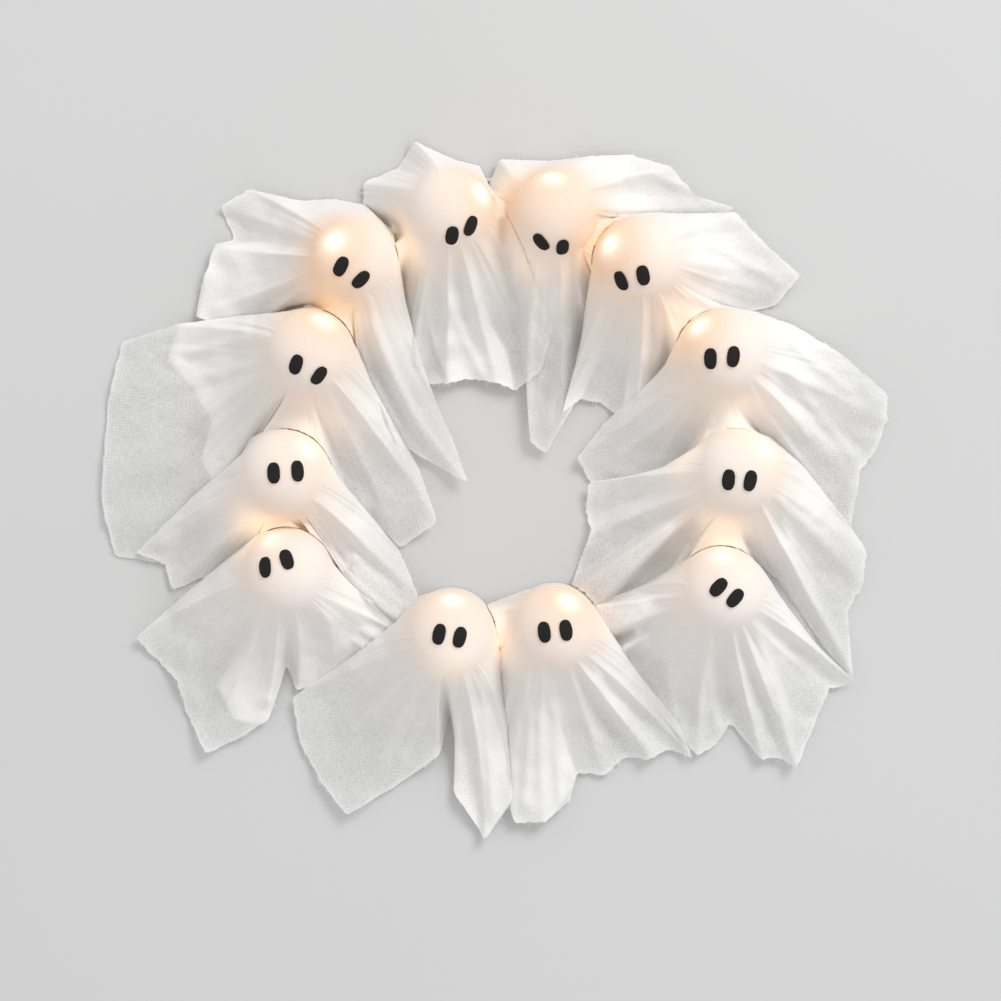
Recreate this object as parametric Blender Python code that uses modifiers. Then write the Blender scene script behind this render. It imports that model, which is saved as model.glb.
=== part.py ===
"""Wreath of twelve gauze ghosts on a raised wire frame, with a string of lights and its battery case.

Metres, +Z up. The wreath lies on its back: the wall side is z = 0, +Y is the top of the wreath when it
hangs, and the origin is the middle of its outline on the floor.
"""

import math

import bmesh
import bpy
import numpy as np
from mathutils import Vector
from mathutils.bvhtree import BVHTree

# How a place in the photograph becomes a place on the wreath
PHOTO_SCALE = 0.00078
PHOTO_ORIGIN = (494.1, 490.2)
PHOTO_MIDDLE = (500.5, 500.5)
LENS_HEIGHT = 2.2

# Clearances between pieces that touch, and how far a cutter runs past what it cuts
GAP = 0.0003
DRAPE_GAP = 0.0006
BESIDE = 0.0012
PAST = 0.001

# Gauze and felt
GAUZE_THICK = 0.001
FELT_THICK = 0.001
EYE_LENGTH = 0.0164
EYE_WIDTH = 0.0100
EYE_LEVEL = 0.85

# Heads
BALL_RADIUS = 0.030
LIGHT_ROOM = 0.0042
DOME_RADIUS = BALL_RADIUS + LIGHT_ROOM
FLANK_RADIUS = DOME_RADIUS + 0.0004

# Wire frame: how far the raised rings and the rings on the floor lie from the circle of the heads, and by
# how many degrees the rungs keep clear of the case
FRAME_CENTRE = (0.011, 0.040)
WIRE_RADIUS = 0.0015
RUNG_RADIUS = 0.0013
RAISED_SPREAD = 0.011
FOOT_SPREAD = 0.0285
RING_SIDES = 40
CASE_BERTH = 15.0

# String of lights
LEAD_RADIUS = 0.0006
BEAD_SWELL = 2.1
BEAD_HALF = 0.0022
LEAD_PATH = BALL_RADIUS + BEAD_SWELL * LEAD_RADIUS + 0.0005
LEAD_SWING = 0.004
LEAD_STEP = 28.0
LIGHT_REACH = 0.82
TAIL_INSIDE = 0.002
TAIL_OUTSIDE = 0.003
TAIL_TURN = 0.012
LAST_CLIMB = 6
MOUTH_HEIGHT = 0.0108
MOUTH_HALF = 0.0012

# Battery case: three AA cells side by side
CELL_RADIUS = 0.0071
CELL_LENGTH = 0.0492
CELL_NUB = 0.0012
CELL_EDGE = 0.0006
CELL_COUNT = 3
CASE_WALL = 0.0014
CASE_TOP = 0.0016
CASE_ROUNDING = 0.0012
DOOR_THICK = 0.0018
DOOR_LEDGE = 0.0007
NUB_RADIUS = 0.0026
SPRING_ROOM = 0.0045
SPRING_WIDE = 0.0038
SPRING_NARROW = 0.0016
CONTACT_THICK = 0.0005
CONTACT_HALF = 0.0045
SWITCH_BAY = 0.0090
CASE_AZIMUTH = 229.5
SCREW_RADIUS = 0.0013
SCREW_HEAD = 0.0024
SCREW_HEAD_DEPTH = 0.0010
SCREW_RECESS = 0.0002
SCREW_POINT = 0.0012
SCREW_LENGTH = 0.0075
BOSS_RADIUS = 0.0034
BOSS_BITE = 0.0005

# Slide switch
KNOB_LENGTH = 0.0040
KNOB_WIDTH = 0.0026
KNOB_PROUD = 0.0018
FLANGE_LENGTH = 0.0080
FLANGE_WIDTH = 0.0052
FLANGE_THICK = 0.0012
SWITCH_TRAVEL = 0.0025
SLOT_ABOVE_FLANGE = 0.003

# Clips on the case that snap over the raised rings
CLIP_LENGTH = 0.0060
CLIP_WALL = 0.0012
CLIP_MOUTH = 0.0022

# Sizes that follow from the ones above
CELL_PITCH = 2 * CELL_RADIUS + GAP
BAY_WIDTH = CELL_COUNT * CELL_PITCH + GAP
BAY_LENGTH = CELL_LENGTH + CELL_NUB + SPRING_ROOM + 2 * CONTACT_THICK + 4 * GAP
BAY_DEPTH = 2 * CELL_RADIUS + 2 * GAP
CASE_WIDTH = BAY_WIDTH + 2 * CASE_WALL
CASE_LENGTH = BAY_LENGTH + SWITCH_BAY + 3 * CASE_WALL
CASE_HEIGHT = DOOR_THICK + BAY_DEPTH + CASE_TOP + GAP
RAISED_HEIGHT = CASE_HEIGHT + GAP + WIRE_RADIUS

# Each ghost, clockwise from the upper left. ball is the head's middle in the photograph, spot the bright
# point of its light, eyes the two felt ovals with their lean to the right in degrees. A ray of its gauze
# runs from the head to one point of the hem: (x, y, lift, bend). lift is 0 in a valley that drops off the
# head at once and 1 on a crest that stands out from it, and bend bows the ray sideways, in pixels.
GHOSTS = {
    "ghost_01": {
        "ball": (352, 262),
        "spot": (335, 243),
        "eyes": ((341, 267, 30), (361, 280, 40)),
        "rays": (
            (393, 231, 0), (365, 205, 0), (335, 199, 0), (300, 201, 0.15), (250, 190, 0.5),
            (221, 207, 0.2), (235, 240, 0), (216, 245, 0.6), (201, 290, 0.3), (197, 318, 0.45),
            (245, 332, 0.1), (275, 311, 0), (300, 303, 0), (325, 318, 0.2), (392, 440, 0.3, 18),
            (468, 483, 0.75, 25), (452, 437, 0.25, 22), (410, 350, 0, 10),
        ),
    },
    "ghost_02": {
        "ball": (450, 213),
        "spot": (481, 192),
        "eyes": ((452, 236, 5), (471, 226, 12)),
        "rays": (
            (500, 210, 0), (480, 166, 0), (455, 160, 0.1), (415, 142, 0.35), (398, 168, 0),
            (364, 183, 0.35), (363, 206, 0.1), (392, 228, 0), (398, 262, 0), (404, 330, 0.1),
            (412, 378, 0.65), (432, 384, 0.2), (447, 384, 0.75), (470, 379, 0.3), (496, 383, 0.7),
            (516, 391, 0.35), (540, 372, 0.5), (552, 330, 0.15), (522, 255, 0),
        ),
    },
    "ghost_03": {
        "ball": (553, 215),
        "spot": (553, 180),
        "eyes": ((541, 242, -20), (563, 247, -8)),
        "rays": (
            (735, 208, 0.3), (695, 196, 0.1), (671, 168, 0.5), (630, 155, 0.2), (590, 157, 0.45),
            (550, 161, 0.1), (508, 162, 0.35), (498, 200, 0), (515, 290, 0), (535, 380, 0.2),
            (531, 443, 0.45), (545, 452, 0.8), (556, 420, 0.35), (590, 386, 0.1), (603, 330, 0),
            (640, 262, 0), (611, 217, 0), (655, 210, 0),
        ),
    },
    "ghost_04": {
        "ball": (638, 262),
        "spot": (613, 245),
        "eyes": ((621, 281, -10), (643, 276, -12)),
        "rays": (
            (775, 306, 0.2), (800, 276, 0.45), (768, 247, 0.15), (735, 213, 0.4), (690, 214, 0.05),
            (655, 214, 0), (618, 218, 0), (590, 245, 0), (594, 292, 0), (581, 372, 0.35),
            (561, 414, 0.75), (581, 399, 0.25), (601, 403, 0.15), (620, 418, 0.4), (636, 415, 0.75),
            (655, 388, 0.25), (673, 350, 0.5), (680, 318, 0.05), (722, 312, 0.1),
        ),
    },
    "ghost_05": {
        "ball": (722, 354),
        "spot": (697, 322),
        "eyes": ((710, 359, 3), (733, 357, 5)),
        "rays": (
            (886, 420, 0.6), (886, 394, 0.3), (840, 354, 0.4), (795, 326, 0.15), (757, 312, 0.05),
            (722, 306, 0), (686, 318, 0), (676, 348, 0.1), (656, 388, 0.45), (605, 422, 0.2),
            (577, 458, 0.6), (590, 482, 0.25), (645, 484, 0.05), (690, 455, 0), (720, 440, 0),
            (772, 440, 0), (795, 480, 0), (850, 528, 0.35), (859, 470, 0.6), (874, 453, 0.2),
        ),
    },
    "ghost_06": {
        "ball": (737, 474),
        "spot": (768, 447),
        "eyes": ((728, 480, 8), (750, 481, 10)),
        "rays": (
            (865, 550, 0.55), (850, 526, 0.2), (802, 466, 0.3), (770, 437, 0), (737, 426, 0),
            (704, 430, 0), (688, 455, 0), (640, 481, 0.3), (588, 482, 0.6), (586, 512, 0.15),
            (591, 530, 0.5), (573, 573, 0.25), (625, 598, 0), (688, 560, 0), (722, 545, 0), (755, 560, 0),
            (778, 580, 0),
            (830, 655, 0.2), (852, 676, 0.5), (847, 610, 0.15), (862, 585, 0.5),
        ),
    },
    "ghost_07": {
        "ball": (722, 592),
        "spot": (722, 552),
        "eyes": ((718, 587, 42), (735, 598, 42)),
        "rays": (
            (853, 680, 0.6), (822, 652, 0.3), (785, 607, 0.1), (764, 578, 0), (738, 547, 0),
            (700, 547, 0), (676, 566, 0), (640, 590, 0.4), (602, 610, 0.3), (640, 675, 0.15),
            (672, 728, 0.3), (697, 755, 0.65), (716, 744, 0.2), (730, 722, 0.1), (760, 758, 0.7),
            (780, 757, 0.3), (795, 767, 0.75), (812, 728, 0.3), (828, 688, 0.45), (843, 686, 0.2),
        ),
    },
    "ghost_08": {
        "ball": (555, 630),
        "spot": (567, 605),
        "eyes": ((544, 632, -8), (566, 630, -8)),
        "rays": (
            (604, 625, 0), (592, 600, 0), (560, 582, 0), (525, 592, 0), (505, 615, 0),
            (505, 650, 0), (508, 720, 0.1), (517, 822, 0.4), (545, 820, 0.75), (570, 800, 0.3),
            (577, 772, 0.2), (605, 775, 0.45), (624, 757, 0.15), (650, 758, 0.75), (668, 748, 0.25),
            (692, 757, 0.5), (678, 722, 0.3), (640, 680, 0.4),
        ),
    },
    "ghost_09": {
        "ball": (450, 635),
        "spot": (452, 600),
        "eyes": ((439, 634, 12), (460, 637, 15)),
        "rays": (
            (498, 632, 0), (487, 604, 0), (450, 588, 0), (412, 600, 0), (390, 630, 0),
            (340, 665, 0.4), (293, 697, 0.5), (300, 742, 0.2), (322, 782, 0.35), (347, 814, 0.7),
            (400, 783, 0.25), (440, 754, 0.6), (450, 712, 0), (458, 756, 0.5), (453, 790, 0.35),
            (477, 825, 0.3), (485, 839, 0.7), (513, 798, 0.4), (507, 730, 0.45), (500, 680, 0.1),
        ),
    },
    "ghost_10": {
        "ball": (286, 573),
        "spot": (268, 535),
        "eyes": ((265, 567, -8), (287, 559, -15)),
        "rays": (
            (334, 575, 0), (322, 545, 0), (290, 525, 0), (258, 536, 0), (238, 550, 0),
            (190, 590, 0.3), (137, 637, 0.6), (150, 652, 0.2), (178, 680, 0.5), (187, 712, 0.15),
            (207, 753, 0.6), (243, 736, 0.25), (270, 718, 0.55), (287, 665, 0.05), (297, 690, 0.45),
            (325, 678, 0.15), (345, 655, 0.55), (388, 632, 0.35), (360, 600, 0.15),
        ),
    },
    "ghost_11": {
        "ball": (284, 475),
        "spot": (315, 440),
        "eyes": ((274, 473, -3), (298, 471, -3)),
        "rays": (
            (332, 478, 0), (318, 443, 0), (284, 428, 0), (252, 437, 0), (240, 458, 0),
            (195, 495, 0.35), (137, 553, 0.6), (165, 563, 0.15), (173, 590, 0.4), (225, 560, 0),
            (252, 524, 0), (286, 540, 0), (320, 530, 0), (338, 565, 0.05), (375, 612, 0.25),
            (418, 594, 0.7), (400, 551, 0.25), (356, 498, 0.25),
        ),
    },
    "ghost_12": {
        "ball": (309, 354),
        "spot": (322, 322),
        "eyes": ((296, 365, 22), (319, 376, 25)),
        "rays": (
            (356, 350, 0), (345, 325, 0), (312, 306, 0), (285, 313, 0), (240, 316, 0.25),
            (178, 325, 0.55), (122, 342, 0.15), (108, 405, 0.15), (102, 500, 0.3), (115, 556, 0.1),
            (165, 563, 0.2), (205, 500, 0.05), (238, 474, 0), (282, 440, 0), (323, 474, 0),
            (347, 490, 0.05), (400, 548, 0.25),
            (438, 522, 0.7), (418, 466, 0.25), (378, 400, 0.15),
        ),
    },
}

# The order in which the gauzes were laid, the lowest first
LAID = (
    "ghost_03", "ghost_02", "ghost_01", "ghost_04", "ghost_05", "ghost_12",
    "ghost_06", "ghost_11", "ghost_07", "ghost_10", "ghost_08", "ghost_09",
)

# How a ray falls from the head: the angle at which it leaves the ball if it is tucked in beside it, in a
# valley or on a crest, how far it has to run for that to count in full, how far a crest still stands up at
# the hem, how high the gauze ends that bridges the gap to the next head, and how much of a ray's bow comes
# from the way in which it leaves the head
TUCKED_ANGLE = 86.0
VALLEY_ANGLE = 68.0
CREST_ANGLE = 45.0
OPEN_RUN = 0.030
HEM_RISE = 0.010
BRIDGE_HEIGHT = 0.030
HEM_LOW = 0.0003
HEM_ROOM = 0.0018
TUCK = 0.0001
HEADWAY = 0.4
STEEPEST_FALL = 9.0
DOME_ROWS = (32.0, 62.0)
SKIRT_ROWS = (0.0, 0.25, 0.58, 1.0)
SAMPLE_STEP = 0.0016
DRAPE_PASSES = 60

# How much each face of the gauze looks at least towards the way in which its corners move to give it its
# thickness (the cosine between them), and the passes that turn this way
LEAST_FACING = 0.4
FACING_PASSES = 40


def clear_scene():
    for obj in list(bpy.data.objects):
        bpy.data.objects.remove(obj, do_unlink=True)


def make_collection(name):
    collection = bpy.data.collections.new(name)
    bpy.context.scene.collection.children.link(collection)
    return collection


clear_scene()
WREATH = make_collection("halloween_ghost_wreath")
CUTTERS = make_collection("cutters")


def make_material(name, colour, roughness, metallic=0.0):
    material = bpy.data.materials.new(name)
    material.use_nodes = True
    shader = material.node_tree.nodes["Principled BSDF"]
    shader.inputs["Base Color"].default_value = (*colour, 1.0)
    shader.inputs["Roughness"].default_value = roughness
    shader.inputs["Metallic"].default_value = metallic
    material.diffuse_color = (*colour, 1.0)
    return material


GAUZE = make_material("white_gauze", (0.86, 0.86, 0.85), 0.95)
FELT = make_material("black_felt", (0.012, 0.012, 0.011), 0.95)
BALL = make_material("white_foam", (0.90, 0.88, 0.84), 0.80)
FRAME_WIRE = make_material("painted_wire", (0.80, 0.80, 0.78), 0.45)
LEAD = make_material("clear_lead", (0.85, 0.80, 0.68), 0.35)
CASE_PLASTIC = make_material("white_plastic", (0.82, 0.82, 0.80), 0.45)
KNOB_PLASTIC = make_material("black_plastic", (0.03, 0.03, 0.03), 0.50)
STEEL = make_material("plated_steel", (0.62, 0.62, 0.60), 0.30, 1.0)
CELL_SLEEVE = make_material("cell_sleeve", (0.12, 0.13, 0.15), 0.35)


def photo_point(x, y, height=0.0):
    """The place on the wreath that the photograph shows at pixel x, y, if it lies at this height."""
    nearer = 1.0 - height / LENS_HEIGHT
    across = (x - PHOTO_MIDDLE[0]) * nearer + PHOTO_MIDDLE[0] - PHOTO_ORIGIN[0]
    down = (y - PHOTO_MIDDLE[1]) * nearer + PHOTO_MIDDLE[1] - PHOTO_ORIGIN[1]
    return np.array([across * PHOTO_SCALE, -down * PHOTO_SCALE])


def add_object(name, data, material, collection=None):
    obj = bpy.data.objects.new(name, data)
    data.materials.append(material)
    (collection or WREATH).objects.link(obj)
    return obj


def take(obj, name, material, collection=None):
    """Names an object that an operator has just made, and moves it into a collection of this file."""
    for home in list(obj.users_collection):
        home.objects.unlink(obj)
    (collection or WREATH).objects.link(obj)
    obj.name = name
    if obj.data:
        obj.data.name = name
    if material:
        obj.data.materials.clear()
        obj.data.materials.append(material)
    return obj


def as_cutter(obj):
    obj.hide_render = True
    obj.display_type = "WIRE"
    return obj


def evaluated_mesh(obj):
    graph = bpy.context.evaluated_depsgraph_get()
    return bpy.data.meshes.new_from_object(obj.evaluated_get(graph))


def curve_object(name, points, radius, sides, material, collection=None, swell=None, closed=False):
    """A wire along points, and swell as the wire's relative thickness at each of them."""
    data = bpy.data.curves.new(name, "CURVE")
    data.dimensions = "3D"
    data.bevel_depth = radius
    data.bevel_resolution = sides
    data.use_fill_caps = True
    spline = data.splines.new("POLY")
    spline.points.add(len(points) - 1)
    spline.use_cyclic_u = closed
    for index, place in enumerate(points):
        spline.points[index].co = (*place, 1.0)
        spline.points[index].radius = swell[index] if swell else 1.0
    return add_object(name, data, material, collection)


def as_mesh(curve):
    """The same piece as a mesh whose caps are welded to its wall."""
    name, material = curve.name, curve.data.materials[0]
    mesh = evaluated_mesh(curve)
    form = bmesh.new()
    form.from_mesh(mesh)
    bmesh.ops.remove_doubles(form, verts=form.verts, dist=1e-6)
    form.to_mesh(mesh)
    form.free()
    home = curve.users_collection[0]
    place = curve.matrix_world.copy()
    bpy.data.objects.remove(curve, do_unlink=True)
    piece = bpy.data.objects.new(name, mesh)
    home.objects.link(piece)
    piece.matrix_world = place
    if not mesh.materials:
        mesh.materials.append(material)
    return piece


def combine(obj, other, operation):
    modifier = obj.modifiers.new(other.name, "BOOLEAN")
    modifier.operation = operation
    modifier.object = other
    return modifier


def box(name, low, high, material, collection=None, parent=None):
    """A box from its lowest to its highest corner in its parent's frame."""
    bpy.ops.mesh.primitive_cube_add(size=1.0)
    piece = take(bpy.context.object, name, material, collection)
    low, high = Vector(low), Vector(high)
    size = high - low
    for vertex in piece.data.vertices:
        vertex.co = Vector(vertex.co[i] * size[i] for i in range(3))
    piece.parent = parent
    piece.location = (low + high) / 2
    return piece


def cylinder(name, radius, low, high, sides, material, collection=None, parent=None):
    """An upright cylinder between two heights above the point low."""
    bpy.ops.mesh.primitive_cylinder_add(vertices=sides, radius=radius, depth=high - low[2])
    piece = take(bpy.context.object, name, material, collection)
    piece.parent = parent
    piece.location = (low[0], low[1], (low[2] + high) / 2)
    return piece


def round_edges(obj, width, segments=2):
    modifier = obj.modifiers.new("rounded edges", "BEVEL")
    modifier.width = width
    modifier.segments = segments
    modifier.limit_method = "ANGLE"
    return modifier


def turned(name, profile, steps, material, parent=None):
    """A solid turned from its outer profile, from top to bottom, about its own Z axis."""
    data = bpy.data.meshes.new(name)
    points = [(radius, 0.0, height) for radius, height in profile]
    data.from_pydata(points, [(i, i + 1) for i in range(len(points) - 1)], [])
    piece = add_object(name, data, material)
    screw = piece.modifiers.new("turn", "SCREW")
    screw.steps = steps
    screw.render_steps = steps
    screw.use_merge_vertices = True
    screw.merge_threshold = 0.00001
    piece.parent = parent
    return piece


def ring_point(radius, azimuth, height):
    angle = math.radians(azimuth)
    return Vector((
        FRAME_CENTRE[0] + radius * math.cos(angle),
        FRAME_CENTRE[1] + radius * math.sin(angle),
        height,
    ))


def azimuth_of(place):
    return math.degrees(math.atan2(place[1] - FRAME_CENTRE[1], place[0] - FRAME_CENTRE[0])) % 360


def from_frame_centre(place):
    return math.hypot(place[0] - FRAME_CENTRE[0], place[1] - FRAME_CENTRE[1])


# The heads' places in plan, and the rings below them
PLACES = {name: photo_point(*GHOSTS[name]["ball"], RAISED_HEIGHT + BALL_RADIUS) for name in GHOSTS}
AROUND = sorted(GHOSTS, key=lambda name: azimuth_of(PLACES[name]))
HEAD_CIRCLE = sum(from_frame_centre(place) for place in PLACES.values()) / len(PLACES)
INNER_RING = HEAD_CIRCLE - FOOT_SPREAD
INNER_RAISED = HEAD_CIRCLE - RAISED_SPREAD
OUTER_RAISED = HEAD_CIRCLE + RAISED_SPREAD
OUTER_RING = HEAD_CIRCLE + FOOT_SPREAD


def seat_height(place):
    """How high a ball's middle lies when it rests on the nearer raised ring."""
    aside = min(abs(from_frame_centre(place) - ring) for ring in (INNER_RAISED, OUTER_RAISED))
    reach = BALL_RADIUS + WIRE_RADIUS + GAP
    return RAISED_HEIGHT + math.sqrt(reach ** 2 - aside ** 2)


CENTRES = {name: np.array([*place, seat_height(place)]) for name, place in PLACES.items()}

# The case lies between the rings on the floor, as near to the outer one as its corners allow
RING_FLAT = math.cos(math.pi / RING_SIDES)
CASE_EDGE = math.sqrt((OUTER_RING * RING_FLAT - WIRE_RADIUS - PAST) ** 2 - (CASE_LENGTH / 2) ** 2)
CASE_RADIUS = min(HEAD_CIRCLE * RING_FLAT, CASE_EDGE - CASE_WIDTH / 2)


def rung_azimuths():
    """Halfway between each two heads, but not where the battery case lies."""
    found = []
    for index, name in enumerate(AROUND):
        start = azimuth_of(CENTRES[name])
        end = azimuth_of(CENTRES[AROUND[(index + 1) % len(AROUND)]])
        middle = (start + ((end - start) % 360) / 2) % 360
        if abs(middle - CASE_AZIMUTH) > CASE_BERTH:
            found.append(middle)
    return found


def build_frame():
    """Four welded rings, two on the floor and two raised, with bent rungs across them."""
    rings = (
        (INNER_RING, WIRE_RADIUS), (INNER_RAISED, RAISED_HEIGHT),
        (OUTER_RAISED, RAISED_HEIGHT), (OUTER_RING, WIRE_RADIUS),
    )
    pieces = []
    for index, (radius, height) in enumerate(rings):
        bpy.ops.mesh.primitive_torus_add(
            location=(*FRAME_CENTRE, height), major_radius=radius, minor_radius=WIRE_RADIUS,
            major_segments=RING_SIDES, minor_segments=6,
        )
        home = WREATH if index == 0 else CUTTERS
        pieces.append(take(bpy.context.object, f"frame_ring_{index}", FRAME_WIRE, home))
    for index, azimuth in enumerate(rung_azimuths()):
        points = [ring_point(radius, azimuth, height) for radius, height in rings]
        rung = curve_object(f"rung_{index}", points, RUNG_RADIUS, 1, FRAME_WIRE, CUTTERS)
        pieces.append(as_mesh(rung))
    frame = pieces[0]
    frame.name = "wire_frame"
    for piece in pieces[1:]:
        combine(frame, as_cutter(piece), "UNION")
    return frame


def build_balls():
    balls = {}
    for name, centre in CENTRES.items():
        bpy.ops.mesh.primitive_uv_sphere_add(
            segments=12, ring_count=8, radius=BALL_RADIUS, location=centre
        )
        balls[name] = take(bpy.context.object, f"{name}_head", BALL)
        balls[name].data.shade_smooth()
    return balls


def light_place(name):
    """Where a ghost's light lies on its ball: the direction from the ball's middle."""
    centre = CENTRES[name]
    spot = photo_point(*GHOSTS[name]["spot"], centre[2] + BALL_RADIUS) - centre[:2]
    reach = min(np.hypot(*spot) / BALL_RADIUS, LIGHT_REACH)
    spot = spot / np.hypot(*spot) * reach
    return Vector((spot[0], spot[1], math.sqrt(1 - reach ** 2)))


def between(start, end, part):
    """A direction part of the way along the arc from one direction to another."""
    turn = start.angle(end)
    return (start * math.sin((1 - part) * turn) + end * math.sin(part * turn)) / math.sin(turn)


def lead_over_ball(name, side_in, side_out):
    """The lead's points from one side of a ball up to its light and down the other side."""
    centre = Vector(CENTRES[name])
    low = RAISED_HEIGHT + WIRE_RADIUS + GAP + LEAD_RADIUS
    light = light_place(name)
    points, swell = [], []
    for side, order in ((side_in, 1), (side_out, -1)):
        steps = max(2, math.ceil(math.degrees(side.angle(light)) / LEAD_STEP))
        climb = [centre + LEAD_PATH * between(side, light, k / steps) for k in range(steps)]
        foot = centre + side * LEAD_PATH
        approach = centre + side * (DOME_RADIUS + LEAD_SWING)
        route = [Vector((approach.x, approach.y, low)), Vector((foot.x, foot.y, low + LEAD_SWING))]
        route += climb
        bead = centre + LEAD_PATH * light
        route.append(bead + (climb[-1] - bead).normalized() * BEAD_HALF)
        if order > 0:
            points += route + [bead]
            swell += [1.0] * len(route) + [BEAD_SWELL]
        else:
            points += route[::-1]
            swell += [1.0] * len(route)
    return points, swell


def side_of(name, turn):
    """The level direction along the ring, back or forward, seen from a ball."""
    angle = math.radians(azimuth_of(CENTRES[name]) + 90 * turn)
    return Vector((math.cos(angle), math.sin(angle), 0.0))


def lead_mouth():
    """Where the lead enters the battery case: the hole in the wall towards the inside of the wreath."""
    return Vector((CASE_LENGTH / 2 - CASE_WALL - SWITCH_BAY / 2, -CASE_WIDTH / 2, MOUTH_HEIGHT))


def build_lights(unit):
    """One lead from the battery case round the wreath, over every head, with a bead of light on each."""
    start = AROUND.index("ghost_10")
    order = [AROUND[(start - k) % len(AROUND)] for k in range(len(AROUND))]
    mouth = lead_mouth()
    inside = unit.matrix_world @ (mouth + Vector((0, CASE_WALL + TAIL_INSIDE, 0)))
    outside = unit.matrix_world @ (mouth - Vector((0, TAIL_OUTSIDE, 0)))
    points = [inside, outside]
    first = CENTRES[order[0]]
    beside = Vector((first[0], first[1], 0)) + side_of(order[0], 1) * (DOME_RADIUS + TAIL_TURN)
    over_rings = RAISED_HEIGHT + WIRE_RADIUS + GAP + LEAD_RADIUS
    points.append(Vector((outside.x, outside.y, over_rings)))
    points.append(Vector((beside.x, beside.y, over_rings)))
    swell = [1.0, 1.0, 1.0, 1.0]
    for name in order:
        more, sizes = lead_over_ball(name, side_of(name, 1), side_of(name, -1))
        points += more
        swell += sizes
    end = len(points) - LAST_CLIMB
    return as_mesh(curve_object("light_string", points[:end], LEAD_RADIUS, 0, LEAD, swell=swell[:end]))


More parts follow.
